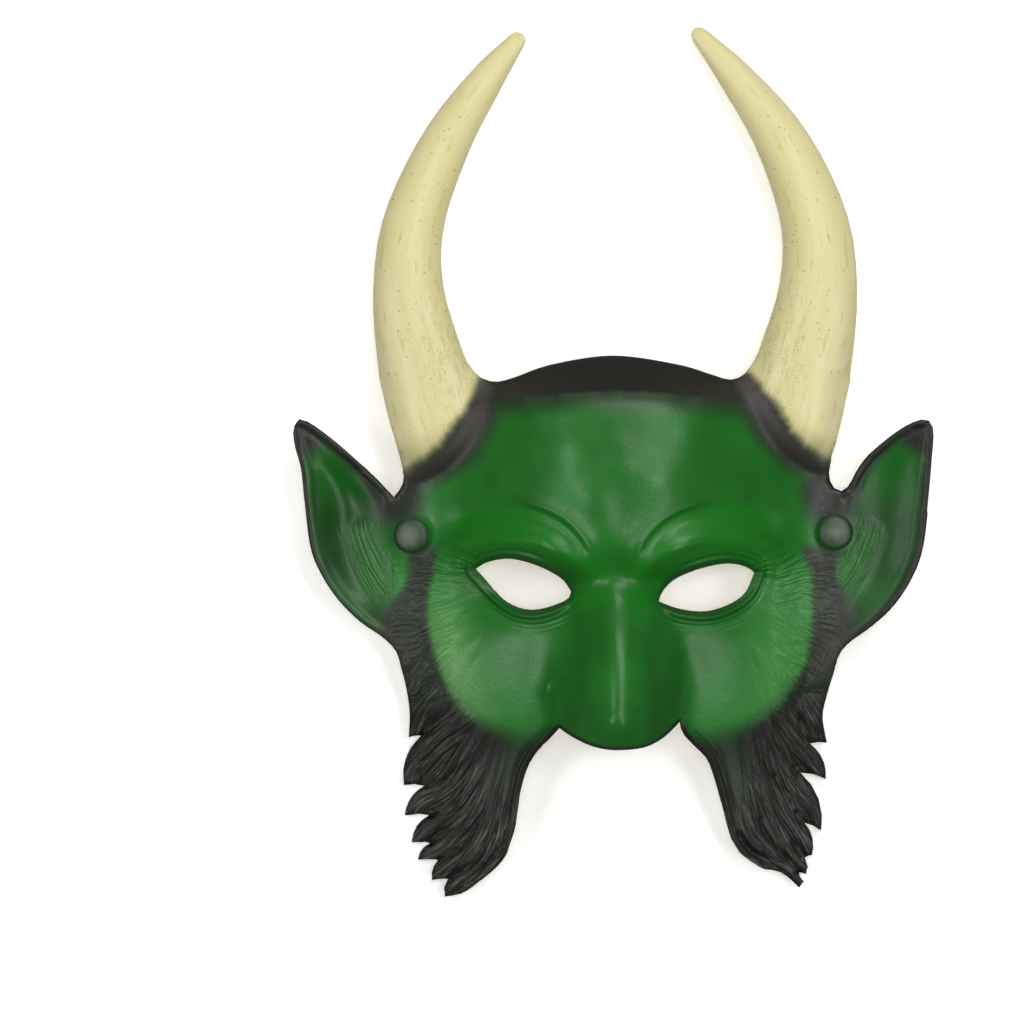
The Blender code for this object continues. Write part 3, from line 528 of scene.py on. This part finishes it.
def paint(f, look):
    # weights of each coat of paint, 0 to 1
    x, y, u, left, ear = f["x"], f["y"], f["u"], f["left"], f["onEar"]
    wander = noise(x, y, 9, 2)
    # cream horns, feathered at the foot, and black collars that thin out over the forehead
    up, run = f["upHorn"] + 0.5 * wander, f["collarRun"]
    bandWidth = 5.6 + 5.4 * bell(run - 56, 24)
    feather = 0.7 * noise(run, up * 0.15, 4.2, 3) + 0.3 * noise(run, up * 0.15, 1.9, 1)
    cream = f["nearHorn"] * ramp(-4.2, 2.8, f["upHorn"] - bandWidth + feather)
    collar = f["nearHorn"] * np.maximum(ramp(-1.6, 0.2, up), 0.8 * ramp(-8.5, -0.4, up))
    # black crown, hair, and bands from the hair up to the studs and the notches above them
    above = f["aboveCrown"] + 0.4 * wander
    crown = np.maximum(ramp(-0.9, 0.5, above), 0.78 * ramp(-12, -0.4, above)) * ramp(64, 54, u) * (y > 0)
    hair = ramp(0.87, 1.14, f["patch"] + 0.015 * wander) * ramp(-78, -98, y) * ramp(16, 28, u)
    hair *= 1 - 0.22 * bell(f["jaw"] - 9, 6) * ramp(-150, -115, y)
    bandOut = np.where(left, 82 + 13 * ramp(-44, -68, y), 90 + 8 * ramp(-44, -66, y))
    band = (ramp(0.94, 1.06, f["patch"] + 0.02 * wander) * ramp(-30, -38, y)
            * ramp(3, -3, u - bandOut + 0.8 * wander) * (u > 55))
    notch = ramp(17, 6, np.hypot(u - 86.5, (y + 13.5) * np.where(y < -13.5, 0.9, 0.6)))
    # black tips, rims and roots of the ears
    earRoot = ear * bell(np.hypot(u - 93, y + 62), 9)
    tip = ear * ramp(19, 9, np.hypot(u - 126, y - 17))
    topRim = ear * ramp(3, -1.5, f["earTop"] - 3.4 - 3.4 * ramp(106, 93, u))
    leftRim = np.maximum(ramp(2.6, 1.0, f["earBack"]) * (0.55 + 0.4 * ramp(-50, -20, y)),
                         0.3 * bell(f["earBack"] - 3.5, 3.5) * ramp(0, -20, y))
    backRim = ear * np.where(left, leftRim, 0.9 * ramp(3.8, 2.2, f["earBack"]))
    # black along the jaw and on the cut edges; painted shade along the nose's bottom edge, where it turns under
    jaw = ramp(3.2, 0.8, f["jaw"]) * ramp(-102, -107, y)
    shadeUnderNose = ramp(2.4, 0.5, f["edge"]) * (u < 26) * ramp(-98, -104, y)
    rimLine = np.maximum(0.9 * ramp(1.2, 0.2, f["edge"]) * (f["upHorn"] < 12), 0.25 * ramp(0.9, 0.1, f["eye"]))
    black = np.maximum.reduce([collar, crown, hair, 0.86 * band, 0.92 * notch, np.where(left, 0.5, 0.8) * earRoot,
                               tip, 0.9 * topRim, backRim, jaw, 0.8 * shadeUnderNose, rimLine])
    # pure green on brows, lids and ears; painted shade as a deeper green in hollows and on the nose's right flank
    bean = ramp(-1.5, 3, f["underLip"]) * ramp(20, 12, f["underLip"]) * ramp(2, 10, f["lipRun"])
    socket = ramp(16, 6, f["eye"]) * (1 - f["belowEye"])
    pure = np.clip(np.maximum.reduce([bean, socket, 0.9 * ear * ramp(3, 7, f["earBack"])]), 0, 1)
    # painted shade in the ears: darkest in the cup and in the groove inside the rim, half as dark over the rest
    cup = ear * bell(np.hypot(u - 110, (y + 33) * 0.8), 13)
    shadeInEar = 0.95 * cup + 0.5 * ear + 0.5 * ear * bell(f["earBack"] - 4.2, 1.2)
    # painted shade down the right flank of the nose, the side turned away from the light
    shadeOnRightFlank = ramp(10, 15, u) * ramp(30, 24, u) * ramp(-56, -66, y) * (x > 0)
    deep = np.clip(np.maximum.reduce([0.5 * ramp(7, 1, f["eye"]), shadeInEar, 0.35 * shadeOnRightFlank]), 0, 1)
    # dust and painted sheen together: pale green on the cheeks, on the strokes beside the ears' ridges and on
    # their rims
    outerCheek = ramp(50, 66, u) * ramp(-38, -50, y) * ramp(-108, -92, y)
    cheek = ramp(1.02, 0.72, f["patch"]) * ramp(-60, -72, y) * ramp(24, 34, u)
    strokes = bell(f["earRidge"], 6) * ramp(0, 8, f["earRidgeRun"]) * ramp(36, 26, f["earRidgeRun"])
    onCheek = np.clip(0.08 * cheek + 0.35 * outerCheek, 0, 1) * (1 - pure) * np.where(left, 1.0, 0.7)
    dustAndSheenGreen = np.maximum.reduce([onCheek, 0.45 * strokes,
                               0.3 * ear * bell(f["earBack"] - 2.6, 1.0) * ramp(12, 0, y)])
    # a pale fringe round the cheek, stronger on the left; inside it a lighter green, lighter paint and painted
    # light together;
    # painted light alone lightens the left temple
    fringe = bell(f["patch"] - 0.84, 0.24) * ramp(-46, -78, y) * ramp(42, 62, u) * np.where(left, 0.9, 0.15)
    paintedLightOnLeftTemple = 0.8 * left * ramp(60, 68, u) * ramp(12, 0, y) * ramp(90, 84, u)
    inPatch = ramp(1.05, 0.9, f["patch"]) * ramp(0.25, 0.75, f["patch"]) * ramp(24, 40, u) * ramp(-50, -64, y)
    # drawn wrinkles fan out from the eye's outer corner
    crows = np.maximum(ramp(62, 69, u), bell(np.hypot(u - 59, y + 43), 7)) * ramp(-34, -42, y) * ramp(84, 80, u)
    creases = (np.clip(f["band"] + 0.8 * crows + 1.3 * strokes, 0, 1.3) * (1 - f["hair"]) * (1 - cream)
               * f["wrinkled"])
    along = f["hornAlong"]
    return {
        "blackPaint": black * (1 - cream), "creamPaint": cream,
        "hollowShade": deep, "pureGreen": pure, "dustAndSheen": dustAndSheenGreen,
        "paleFringe": fringe * (1 - cream), "lighterGreenAndLight": np.maximum(paintedLightOnLeftTemple, inPatch) * (1 - cream),
        "warmPaint": np.clip(f["nearHorn"] * bell(f["upHorn"] - 5.5, 3.6) + 0.4 * band * ramp(-96, -80, y),
                             0, 1),
        "mossTint": cream * ramp(8, 24, f["upHorn"]) * ramp(170, 120, along),
        # painted shade: the cream darkens towards the sides of each horn
        "paintedHornShade": cream * ramp(0.45, 1.0, np.abs(f["hornAcross"]) / np.maximum(19 - 0.09 * along, 4)),
        "hornFoot": cream * f["hornGrain"], "hornU": f["hornAcross"], "hornV": along,
        "creases": creases, "wrinkleAlong": f["wrinkleAlong"], "wrinkleAcross": f["wrinkleAcross"],
        "strands": f["combed"], "strandAlong": f["lockRun"], "strandAcross": f["lockAcross"],
    }


def frontNormals(co, tri):
    cross = np.cross(co[tri[:, 1]] - co[tri[:, 0]], co[tri[:, 2]] - co[tri[:, 0]])
    normal = np.zeros(co.shape)
    for k in range(3):
        np.add.at(normal, tri[:, k], cross)
    length = np.linalg.norm(normal, axis=1)
    normal[length > 0] /= length[length > 0][:, None]
    return normal


def backHeights(co, isBack):
    # how high the back lies under each point
    under = KDTree(int(isBack.sum()))
    for i in np.flatnonzero(isBack):
        under.insert((co[i, 0], co[i, 1], 0), i)
    under.balance()
    return np.array([co[under.find((a, b, 0))[1], 2] for a, b in co[:, :2]])


def buildMask(look):
    mesh = smoothSkin("moulded_mask", look)
    mesh.materials.clear()
    co = np.zeros(len(mesh.vertices) * 3)
    mesh.vertices.foreach_get("co", co)
    co = co.reshape(-1, 3) * 1000
    sheet = np.zeros(len(mesh.polygons), int)
    mesh.attributes["sheet"].data.foreach_get("value", sheet)
    corners = np.array([p.vertices[:] for p in mesh.polygons])
    isWall, isFront, isBack = [np.isin(np.arange(len(co)), corners[sheet == kind]) for kind in (0, 1, 2)]
    # the front is smoothed, less so up the horns, and its cut edges stay in place
    tri = corners[sheet == 1]
    free = np.where(isFront & ~isWall, 0.6 * (1 - 0.7 * ramp(40, 55, co[:, 1])), 0)
    co = relaxed(co, tri, free, look["smoothing"])
    inCup = ramp(96, 104, co[:, 0]) * ramp(16, 8, co[:, 1])
    onRidge = ramp(13, 7, np.abs(co[:, 0] - 1)) * ramp(-52, -60, co[:, 1])
    co = relaxed(co, tri, free * np.maximum(inCup, onRidge), look["softRounds"])
    outline = co[isFront & isWall][:, :2]
    outline = outline[np.hypot(np.abs(outline[:, 0]) - 84, outline[:, 1] + 29) > 9]    # not the stud holes
    # carved, but never through the wall nor past the solid's own box
    facts = maskFacts(co, outline, look)
    height = np.where(isFront, carve(facts, look), 0)
    lowest = np.where(isFront & ~isWall,
                      np.minimum(co[:, 2], backHeights(co, isBack) + look["thinnestWall"]), -1e9)
    co = co + frontNormals(co, tri) * height[:, None]
    co[:, 2] = np.maximum(co[:, 2], lowest)
    co = np.clip(co, np.array(cadBox[0]) * 1000, np.array(cadBox[1]) * 1000)
    mesh.vertices.foreach_set("co", (co / 1000).ravel())
    # coats of paint; the back is raw foam inside a painted edge, and the horns are cream all round
    coats = paint(facts, look)
    rawFoam = np.where(isBack & ~isFront, 1.0, 0.0) * ramp(1.5, 5, np.minimum(facts["edge"], facts["eye"]))
    coats["rawFoam"] = rawFoam * (1 - np.where(facts["upHorn"] > 9, facts["nearHorn"], 0))
    for name, values in coats.items():
        mesh.attributes.new(name, "FLOAT", "POINT").data.foreach_set("value", values.astype(np.float32))
    mesh.attributes.remove(mesh.attributes["sheet"])
    mesh.update()
    piece = bpy.data.objects.new("paintedMask", mesh)
    bpy.context.scene.collection.objects.link(piece)
    bpy.ops.object.select_all(action="DESELECT")
    piece.select_set(True)
    bpy.context.view_layer.objects.active = piece
    bpy.ops.object.shade_smooth_by_angle(angle=math.radians(62))
    print("mask:", len(mesh.polygons), "triangles")
    return piece


# painted polyurethane foam: satin airbrushed paint over a moulded skin, so soft sheen and soft-edged colours

foamPaint = {
    # the darkest green and the darker cream are painted shade, the grey on the strands painted highlights
    "green": "#135D15", "greenPatch": "#196D1F", "pure": "#106A13", "deep": "#0C3A0C", "lighterGreenLit": "#22752A",
    "dustAndSheenGreen": "#5B9A57", "fringe": "#86AC6E", "black": "#1E1F1B", "paintedHighlight": "#5A5B54", "warm": "#3E3A37",
    "cream": "#D3CA92", "creamPale": "#DCD2A6", "shadedCream": "#BDB585", "moss": "#93B24E", "speck": "#5B5236",
    "grainGap": "#8E8A63", "raw": "#D6CFB4",
    "satin": 0.29,           # roughness where the paint is plain
    "sprayDull": 0.12,       # how much the speckle dulls it
    "patchSize": 26.0,       # mm, wandering of the airbrushed green
    "sprayGrain": 0.9,       # mm, speckle where a coat thins out, coarser than real spray so that it shows
    "hornStreak": 7.0,       # mm across; streaks run eight times as long
    "poreSpacing": 3.2,      # mm between dark pores in the horn
    "skinGrain": 1.6,        # mm, the foam's fine pebbling
    "wrinkleWidth": 1.3,     # mm between drawn wrinkles at the temples
    "strandWidth": 1.05,     # mm between strands of hair
    "speckle": 0.09,         # how far the spray's grain moves the edge of the black
    "bumpHeight": 0.0006,    # metres, of the drawn wrinkles, strands and grain
}


def foamMaterial(look):
    material, tree, shader = newMaterial("airbrushed polyurethane foam")
    place = addNode(tree, "ShaderNodeTexCoord").outputs["Object"]
    weights = {}
    for coat in ("hollowShade", "pureGreen", "dustAndSheen", "lighterGreenAndLight", "paleFringe", "blackPaint", "warmPaint",
                 "rawFoam", "creamPaint", "mossTint", "paintedHornShade", "hornFoot", "hornU", "hornV",
                 "creases", "wrinkleAlong", "wrinkleAcross", "strands", "strandAlong", "strandAcross"):
        weights[coat] = addNode(tree, "ShaderNodeAttribute", {"attribute_name": coat}).outputs["Fac"]
    # places along the horn, the wrinkles and the strands, in mm, squeezed where a pattern runs lengthwise
    places = {"piece": place}
    for name, first, second, squeeze in (("horn", "hornU", "hornV", (1.0, 1.0, 1.0)),
                                         ("alongHorn", "hornU", "hornV", (1.0, 0.12, 1.0)),
                                         ("acrossHorn", "hornU", "hornV", (0.16, 1.0, 1.0)),
                                         ("wrinkle", "wrinkleAlong", "wrinkleAcross", (0.13, 1.0, 1.0)),
                                         ("strand", "strandAlong", "strandAcross", (0.07, 1.0, 1.0))):
        flat = addNode(tree, "ShaderNodeCombineXYZ", {}, {"X": weights[first], "Y": weights[second]}).outputs[0]
        places[name] = addNode(tree, "ShaderNodeMapping", {"Scale": squeeze}, {"Vector": flat}).outputs[0]
    # noise whose bumps span about their size in mm: the piece itself is in metres, the other places in mm
    noises = {}
    for name, where, scale, detail, roughness in (
            ("patch", "piece", 1000 / look["patchSize"], 2.0, 0.5),
            ("spray", "piece", 1000 / look["sprayGrain"], 2.0, 0.5),
            ("pebble", "piece", 1000 / look["skinGrain"], 3.0, 0.5),
            ("streak", "alongHorn", 1 / look["hornStreak"], 3.0, 0.5),
            ("tint", "alongHorn", 0.4, 4.0, 0.65),
            ("grainAlong", "alongHorn", 1.1, 2.0, 0.5),
            ("grainAcross", "acrossHorn", 1.0, 2.0, 0.5),
            ("wrinkles", "wrinkle", 1 / look["wrinkleWidth"], 2.0, 0.5),
            ("strands", "strand", 1 / look["strandWidth"], 2.0, 0.5)):
        settings = {"Scale": scale, "Detail": detail, "Roughness": roughness}
        noises[name] = addNode(tree, "ShaderNodeTexNoise", settings, {"Vector": places[where]}).outputs["Fac"]
    settings = {"From Min": 0.34, "From Max": 0.6, "To Max": 1.7}
    for name in ("wrinkles", "strands"):
        noises[name] = addNode(tree, "ShaderNodeMapRange", settings, {"Value": noises[name]}).outputs[0]
    settings = {"Scale": 1 / look["poreSpacing"]}
    noises["pores"] = addNode(tree, "ShaderNodeTexVoronoi", settings,
                              {"Vector": places["horn"]}).outputs["Distance"]
    # what is laid over what: colour, its weight, the noise that breaks it up with its low and high,
    # and the most of it that shows
    layers = [
        ("greenPatch", None, "patch", 0.42, 0.66, 0.8), ("pure", "pureGreen", None, 0, 1, 0.9),
        ("deep", "hollowShade", None, 0, 1, 0.95), ("lighterGreenLit", "lighterGreenAndLight", None, 0, 1, 0.75),
        ("dustAndSheenGreen", "dustAndSheen", "spray", 0.0, 0.8, 1.0), ("fringe", "paleFringe", "spray", 0.0, 0.9, 0.55),
        ("cream", "creamPaint", None, 0, 1, 1.0), ("creamPale", "creamPaint", "streak", 0.45, 0.62, 0.7),
        ("shadedCream", "paintedHornShade", None, 0, 1, 0.25), ("moss", "mossTint", "tint", 0.57, 0.72, 0.75),
        ("grainGap", "hornFoot", "grainAlong", 0.52, 0.68, 0.3),
        ("grainGap", "hornFoot", "grainAcross", 0.55, 0.7, 0.2),
        ("speck", "mossTint", "pores", 0.16, 0.06, 0.55), ("black", "blackPaint", "spray", 0, 1, 1.0),
        # painted highlights: a dry-brushed grey on the strands of hair paints their glints
        ("paintedHighlight", "strands", "strands", 0.9, 1.7, 0.4), ("warm", "warmPaint", None, 0, 1, 0.8),
        ("raw", "rawFoam", None, 0, 1, 1.0),
    ]
    base = None
    for colour, coat, breakUp, low, high, most in layers:
        if coat == "blackPaint":
            # thin black turns to speckle: the weight plus a little grain
            settings = {"From Min": 0.3, "From Max": 0.7, "To Min": -look["speckle"], "To Max": look["speckle"]}
            grain = addNode(tree, "ShaderNodeMapRange", settings, {"Value": noises[breakUp]}).outputs[0]
            rough = addNode(tree, "ShaderNodeMath", {"operation": "ADD"},
                            {0: weights[coat], 1: grain}).outputs[0]
            settings = {"From Min": 0.07, "From Max": 0.92}
            amount = addNode(tree, "ShaderNodeMapRange", settings, {"Value": rough}).outputs[0]
        else:
            amount = weights[coat] if coat else None
            if breakUp:
                settings = {"From Min": low, "From Max": high}
                spotted = addNode(tree, "ShaderNodeMapRange", settings, {"Value": noises[breakUp]}).outputs[0]
                both = {0: amount, 1: spotted}
                amount = (addNode(tree, "ShaderNodeMath", {"operation": "MULTIPLY"}, both).outputs[0]
                          if coat else spotted)
        share = addNode(tree, "ShaderNodeMath", {"operation": "MULTIPLY", 1: most}, {0: amount}).outputs[0]
        mix = addNode(tree, "ShaderNodeMix", {"data_type": "RGBA"})
        mix.inputs[6].default_value, mix.inputs[7].default_value = linear(look["green"]), linear(look[colour])
        tree.links.new(share, mix.inputs["Factor"])
        if base:
            tree.links.new(base, mix.inputs[6])
        base = mix.outputs[2]
    tree.links.new(base, shader.inputs["Base Color"])
    # satin, duller on the pale coat of dust and painted sheen, the horns and the bare foam, shinier on the
    # strands of hair
    settings = {"operation": "MULTIPLY_ADD", 1: look["sprayDull"], 2: look["satin"]}
    dull = addNode(tree, "ShaderNodeMath", settings, {0: noises["spray"]}).outputs[0]
    for coat, more in (("dustAndSheen", 0.06), ("creamPaint", 0.16), ("rawFoam", 0.4), ("warmPaint", 0.14),
                       ("blackPaint", 0.05), ("hollowShade", 0.03), ("strands", -0.1)):
        settings = {"operation": "MULTIPLY_ADD", 1: more}
        dull = addNode(tree, "ShaderNodeMath", settings, {0: weights[coat], 2: dull}).outputs[0]
    tree.links.new(dull, shader.inputs["Roughness"])
    shader.inputs["IOR"].default_value = 1.46
    # bumps: the foam's pebbling, wrinkles drawn across the temples, strands of hair, grain at the horn's foot
    height = addNode(tree, "ShaderNodeMath", {"operation": "MULTIPLY", 1: 0.22},
                     {0: noises["pebble"]}).outputs[0]
    for lines, coat in (("wrinkles", "creases"), ("strands", "strands"),
                        ("grainAlong", "hornFoot"), ("grainAcross", "hornFoot")):
        part = addNode(tree, "ShaderNodeMath", {"operation": "MULTIPLY"},
                       {0: noises[lines], 1: weights[coat]}).outputs[0]
        height = addNode(tree, "ShaderNodeMath", {"operation": "ADD"}, {0: height, 1: part}).outputs[0]
    settings = {"Strength": 0.6, "Distance": look["bumpHeight"]}
    bump = addNode(tree, "ShaderNodeBump", settings, {"Height": height}).outputs[0]
    tree.links.new(bump, shader.inputs["Normal"])
    return material


mask = buildMask(maskLook)
mask.data.materials.append(foamMaterial(foamPaint))
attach(mask, "root")
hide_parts("moulded_mask")


# strap studs: pressed steel caps, lacquered with the mask's own dark green,
# so one soft highlight on each smooth dome, helped by a painted highlight of lighter grey in its middle

studLook = {
    "around": 48,
    "capRadius": 7.2, "rimHeight": 1.2, "rimWidth": 0.5, "domeRise": 1.8,     # mm
    "postRadius": 2.2, "buttonRadius": 5.4, "buttonThickness": 1.7, "gap": 0.3, "wall": 4.0,
    "domeFoot": 0.3, "domeSteps": 6, "rolledEdge": 0.25,
    # the lacquer's green, and the lighter grey of the painted highlight in each dome's middle
    "dark": "#1B3A1E", "highlightGrey": "#6B6E63",
}


def studSeat(nodeName):
    # the flat back of the CAD stud gives its axis, and its apex how far out it stands
    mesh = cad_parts[nodeName].data
    flat = [p for p in mesh.polygons if p.normal.z < -0.9]
    axis = -sum((p.normal * p.area for p in flat), Vector()).normalized()
    middle = sum((v.co for v in mesh.vertices), Vector()) / len(mesh.vertices)
    apex = max(v.co.dot(axis) for v in mesh.vertices)
    return (Matrix.Translation(middle + axis * (apex - middle.dot(axis)))
            @ axis.to_track_quat("Z", "Y").to_matrix().to_4x4())


def pickFaces(obj, test):
    bpy.ops.object.mode_set(mode="EDIT")
    bpy.ops.mesh.select_mode(type="FACE")
    bpy.ops.mesh.select_all(action="DESELECT")
    bm = bmesh.from_edit_mesh(obj.data)
    for face in bm.faces:
        face.select_set(test(face))
    bmesh.update_edit_mesh(obj.data)


def buildStud(name, nodeName, look):
    mm = 0.001
    top = look["domeRise"] + look["rimHeight"]
    bpy.ops.object.select_all(action="DESELECT")
    bpy.ops.mesh.primitive_cylinder_add(
        vertices=look["around"], radius=look["capRadius"] * mm, depth=look["rimHeight"] * mm,
        location=(0, 0, (look["rimHeight"] / 2 - top) * mm))
    stud = bpy.context.object
    stud.name = name
    # dome: the top face is inset in steps and each one lifted along the arc
    pickFaces(stud, lambda f: f.normal.z > 0.9)
    inner = look["capRadius"] - look["rimWidth"]
    bpy.ops.mesh.inset(thickness=look["rimWidth"] * mm)
    bpy.ops.transform.translate(value=(0, 0, look["domeFoot"] * mm))
    steps, foot = look["domeSteps"], look["domeFoot"]
    heights = [foot + (look["domeRise"] - foot) * math.sin(math.pi / 2 * i / steps) for i in range(steps + 1)]
    radii = [inner * math.cos(math.pi / 2 * i / steps) for i in range(steps)] + [0.35]
    for i in range(steps):
        bpy.ops.mesh.inset(thickness=(radii[i] - radii[i + 1]) * mm)
        bpy.ops.transform.translate(value=(0, 0, (heights[i + 1] - heights[i]) * mm))
    # post and button behind: the underside is inset, drawn down, and widened again
    pickFaces(stud, lambda f: f.normal.z < -0.9)
    bpy.ops.mesh.inset(thickness=(look["capRadius"] - look["postRadius"]) * mm)
    bpy.ops.mesh.extrude_region_move(
        TRANSFORM_OT_translate={"value": (0, 0, -(look["wall"] + 2 * look["gap"]) * mm)})
    bpy.ops.mesh.extrude_region_move()
    wide = look["buttonRadius"] / look["postRadius"]
    bpy.ops.transform.resize(value=(wide, wide, 1))
    bpy.ops.mesh.extrude_region_move(TRANSFORM_OT_translate={"value": (0, 0, -look["buttonThickness"] * mm)})
    bpy.ops.mesh.select_all(action="SELECT")
    bpy.ops.mesh.normals_make_consistent(inside=False)
    bpy.ops.object.mode_set(mode="OBJECT")
    edge = stud.modifiers.new("rolled edges", "BEVEL")
    edge.width, edge.segments = look["rolledEdge"] * mm, 3
    edge.limit_method, edge.angle_limit = "ANGLE", math.radians(50)
    bpy.ops.object.modifier_apply(modifier=edge.name)
    bpy.ops.object.shade_smooth_by_angle(angle=math.radians(50))
    stud.matrix_world = studSeat(nodeName)
    bpy.ops.object.transform_apply(location=True, rotation=True, scale=True)
    # how far a point is out from the stud's middle, for the painted highlight in the dome's middle
    seat = studSeat(nodeName).inverted()
    out = [math.hypot(*(seat @ v.co).xy) / (look["capRadius"] * mm) for v in stud.data.vertices]
    stud.data.attributes.new("fromMiddle", "FLOAT", "POINT").data.foreach_set("value", out)
    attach(stud, "root")
    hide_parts(nodeName)
    print(name, len(stud.data.polygons), "faces")
    return stud


def lacquerMaterial(look):
    material, tree, shader = newMaterial("lacquered pressed steel")
    place = addNode(tree, "ShaderNodeTexCoord").outputs["Object"]
    # faint clouds 4 mm across
    cloud = addNode(tree, "ShaderNodeTexNoise", {"Scale": 260.0, "Detail": 2.0},
                    {"Vector": place}).outputs["Fac"]
    # painted highlight: lighter grey towards the middle of the dome, broken up by the clouds
    out = addNode(tree, "ShaderNodeAttribute", {"attribute_name": "fromMiddle"}).outputs["Fac"]
    paintedHighlight = addNode(tree, "ShaderNodeMapRange", {"From Min": 0.85, "From Max": 0.1, "To Max": 1.3},
                     {"Value": out}).outputs[0]
    share = addNode(tree, "ShaderNodeMath", {"operation": "MULTIPLY"}, {0: paintedHighlight, 1: cloud}).outputs[0]
    mix = addNode(tree, "ShaderNodeMix", {"data_type": "RGBA"}, {"Factor": share})
    mix.inputs[6].default_value, mix.inputs[7].default_value = linear(look["dark"]), linear(look["highlightGrey"])
    tree.links.new(mix.outputs[2], shader.inputs["Base Color"])
    dull = addNode(tree, "ShaderNodeMapRange", {"To Min": 0.40, "To Max": 0.48}, {"Value": cloud}).outputs[0]
    tree.links.new(dull, shader.inputs["Roughness"])
    shader.inputs["IOR"].default_value = 1.5
    return material


lacquer = lacquerMaterial(studLook)
for side in ("left", "right"):
    stud = buildStud("studCap" + side.capitalize(), "strap_stud_" + side, studLook)
    stud.data.materials.clear()
    stud.data.materials.append(lacquer)


# table, light and camera

stageLook = {
    "photoMiddle": (-0.0406, -0.0204),     # the place the picture is centred on
    "cameraHeight": 3.0,
    "pictureWidth": 0.4096,
    "tableColour": "#FAFAF8",
    "tableGlow": 0.25,     # a lit table, so the eye holes show white
    "roomLight": 0.09,
    # place in metres, width and height, watts, and the turn about its own axis; all aim at the mask
    "boxes": {
        "overheadBox": ((0.05, 1.55, 0.72), (2.4, 0.12), 3.5, 0),      # the line along the crown
        "ridgeBox": ((0.45, 1.0, 1.3), (1.2, 0.3), 10, 0),             # the ridge of the nose
        "cameraBox": ((0.8, 0.25, 1.95), (0.3, 0.3), 1.6, 0),          # the sheen on the forehead
        # on each side one box stands high for the brow and one low for the cheek
        "leftHigh": ((-0.85, 0.3, 1.5), (0.45, 0.42), 4.2, -35),
        "leftLow": ((-1.12, -0.5, 1.26), (0.45, 0.42), 5.0, -35),
        "rightHigh": ((0.7, 0.14, 1.6), (0.45, 0.42), 4.5, 33),
        "rightLow": ((0.98, -0.6, 1.32), (0.45, 0.42), 4.0, 33),
    },
}


def areaLight(name, place, size, power, roll=0, aim=(0, 0, 0)):
    data = bpy.data.lights.new(name, "AREA")
    data.shape = "RECTANGLE"
    data.size, data.size_y = size
    data.energy = power
    light = bpy.data.objects.new(name, data)
    light.location = place
    facing = (Vector(aim) - Vector(place)).to_track_quat("-Z", "Y") @ Quaternion((0, 0, 1), math.radians(roll))
    light.rotation_euler = facing.to_euler()
    bpy.context.scene.collection.objects.link(light)
    return light


def buildStage(look):
    bpy.ops.object.select_all(action="DESELECT")
    bpy.ops.mesh.primitive_plane_add(size=8, location=(0, 0, 0))
    table = bpy.context.object
    table.name = "paleTable"
    material, tree, shader = newMaterial("pale matt table")
    shader.inputs["Base Color"].default_value = linear(look["tableColour"])
    shader.inputs["Roughness"].default_value = 0.9
    shader.inputs["Emission Color"].default_value = (1, 1, 1, 1)
    shader.inputs["Emission Strength"].default_value = look["tableGlow"]
    table.data.materials.append(material)
    table.visible_glossy = False      # a white table would lay a grey veil over the flanks
    for name, (place, size, power, roll) in look["boxes"].items():
        areaLight(name, place, size, power, roll)
    # a broad fill from above that shows in no reflection lights the table down through the eye holes
    fill = areaLight("topFill", (-0.04, 0, 2.6), (0.7, 0.7), 18, aim=(-0.04, 0, 0))
    fill.visible_glossy = False
    world = bpy.data.worlds.new("paleRoom")
    world.use_nodes = True
    world.node_tree.nodes["Background"].inputs["Color"].default_value = (1, 1, 1, 1)
    world.node_tree.nodes["Background"].inputs["Strength"].default_value = look["roomLight"]
    bpy.context.scene.world = world
    camera = bpy.data.objects.new("camera", bpy.data.cameras.new("camera"))
    camera.location = (*look["photoMiddle"], look["cameraHeight"])
    camera.rotation_euler = (0, 0, 0)
    camera.data.sensor_width = 36
    camera.data.lens = 36 * (look["cameraHeight"] - 0.025) / look["pictureWidth"]
    bpy.context.scene.collection.objects.link(camera)
    bpy.context.scene.camera = camera


buildStage(stageLook)
bpy.context.scene.view_settings.view_transform = "Standard"
print("stage ready")
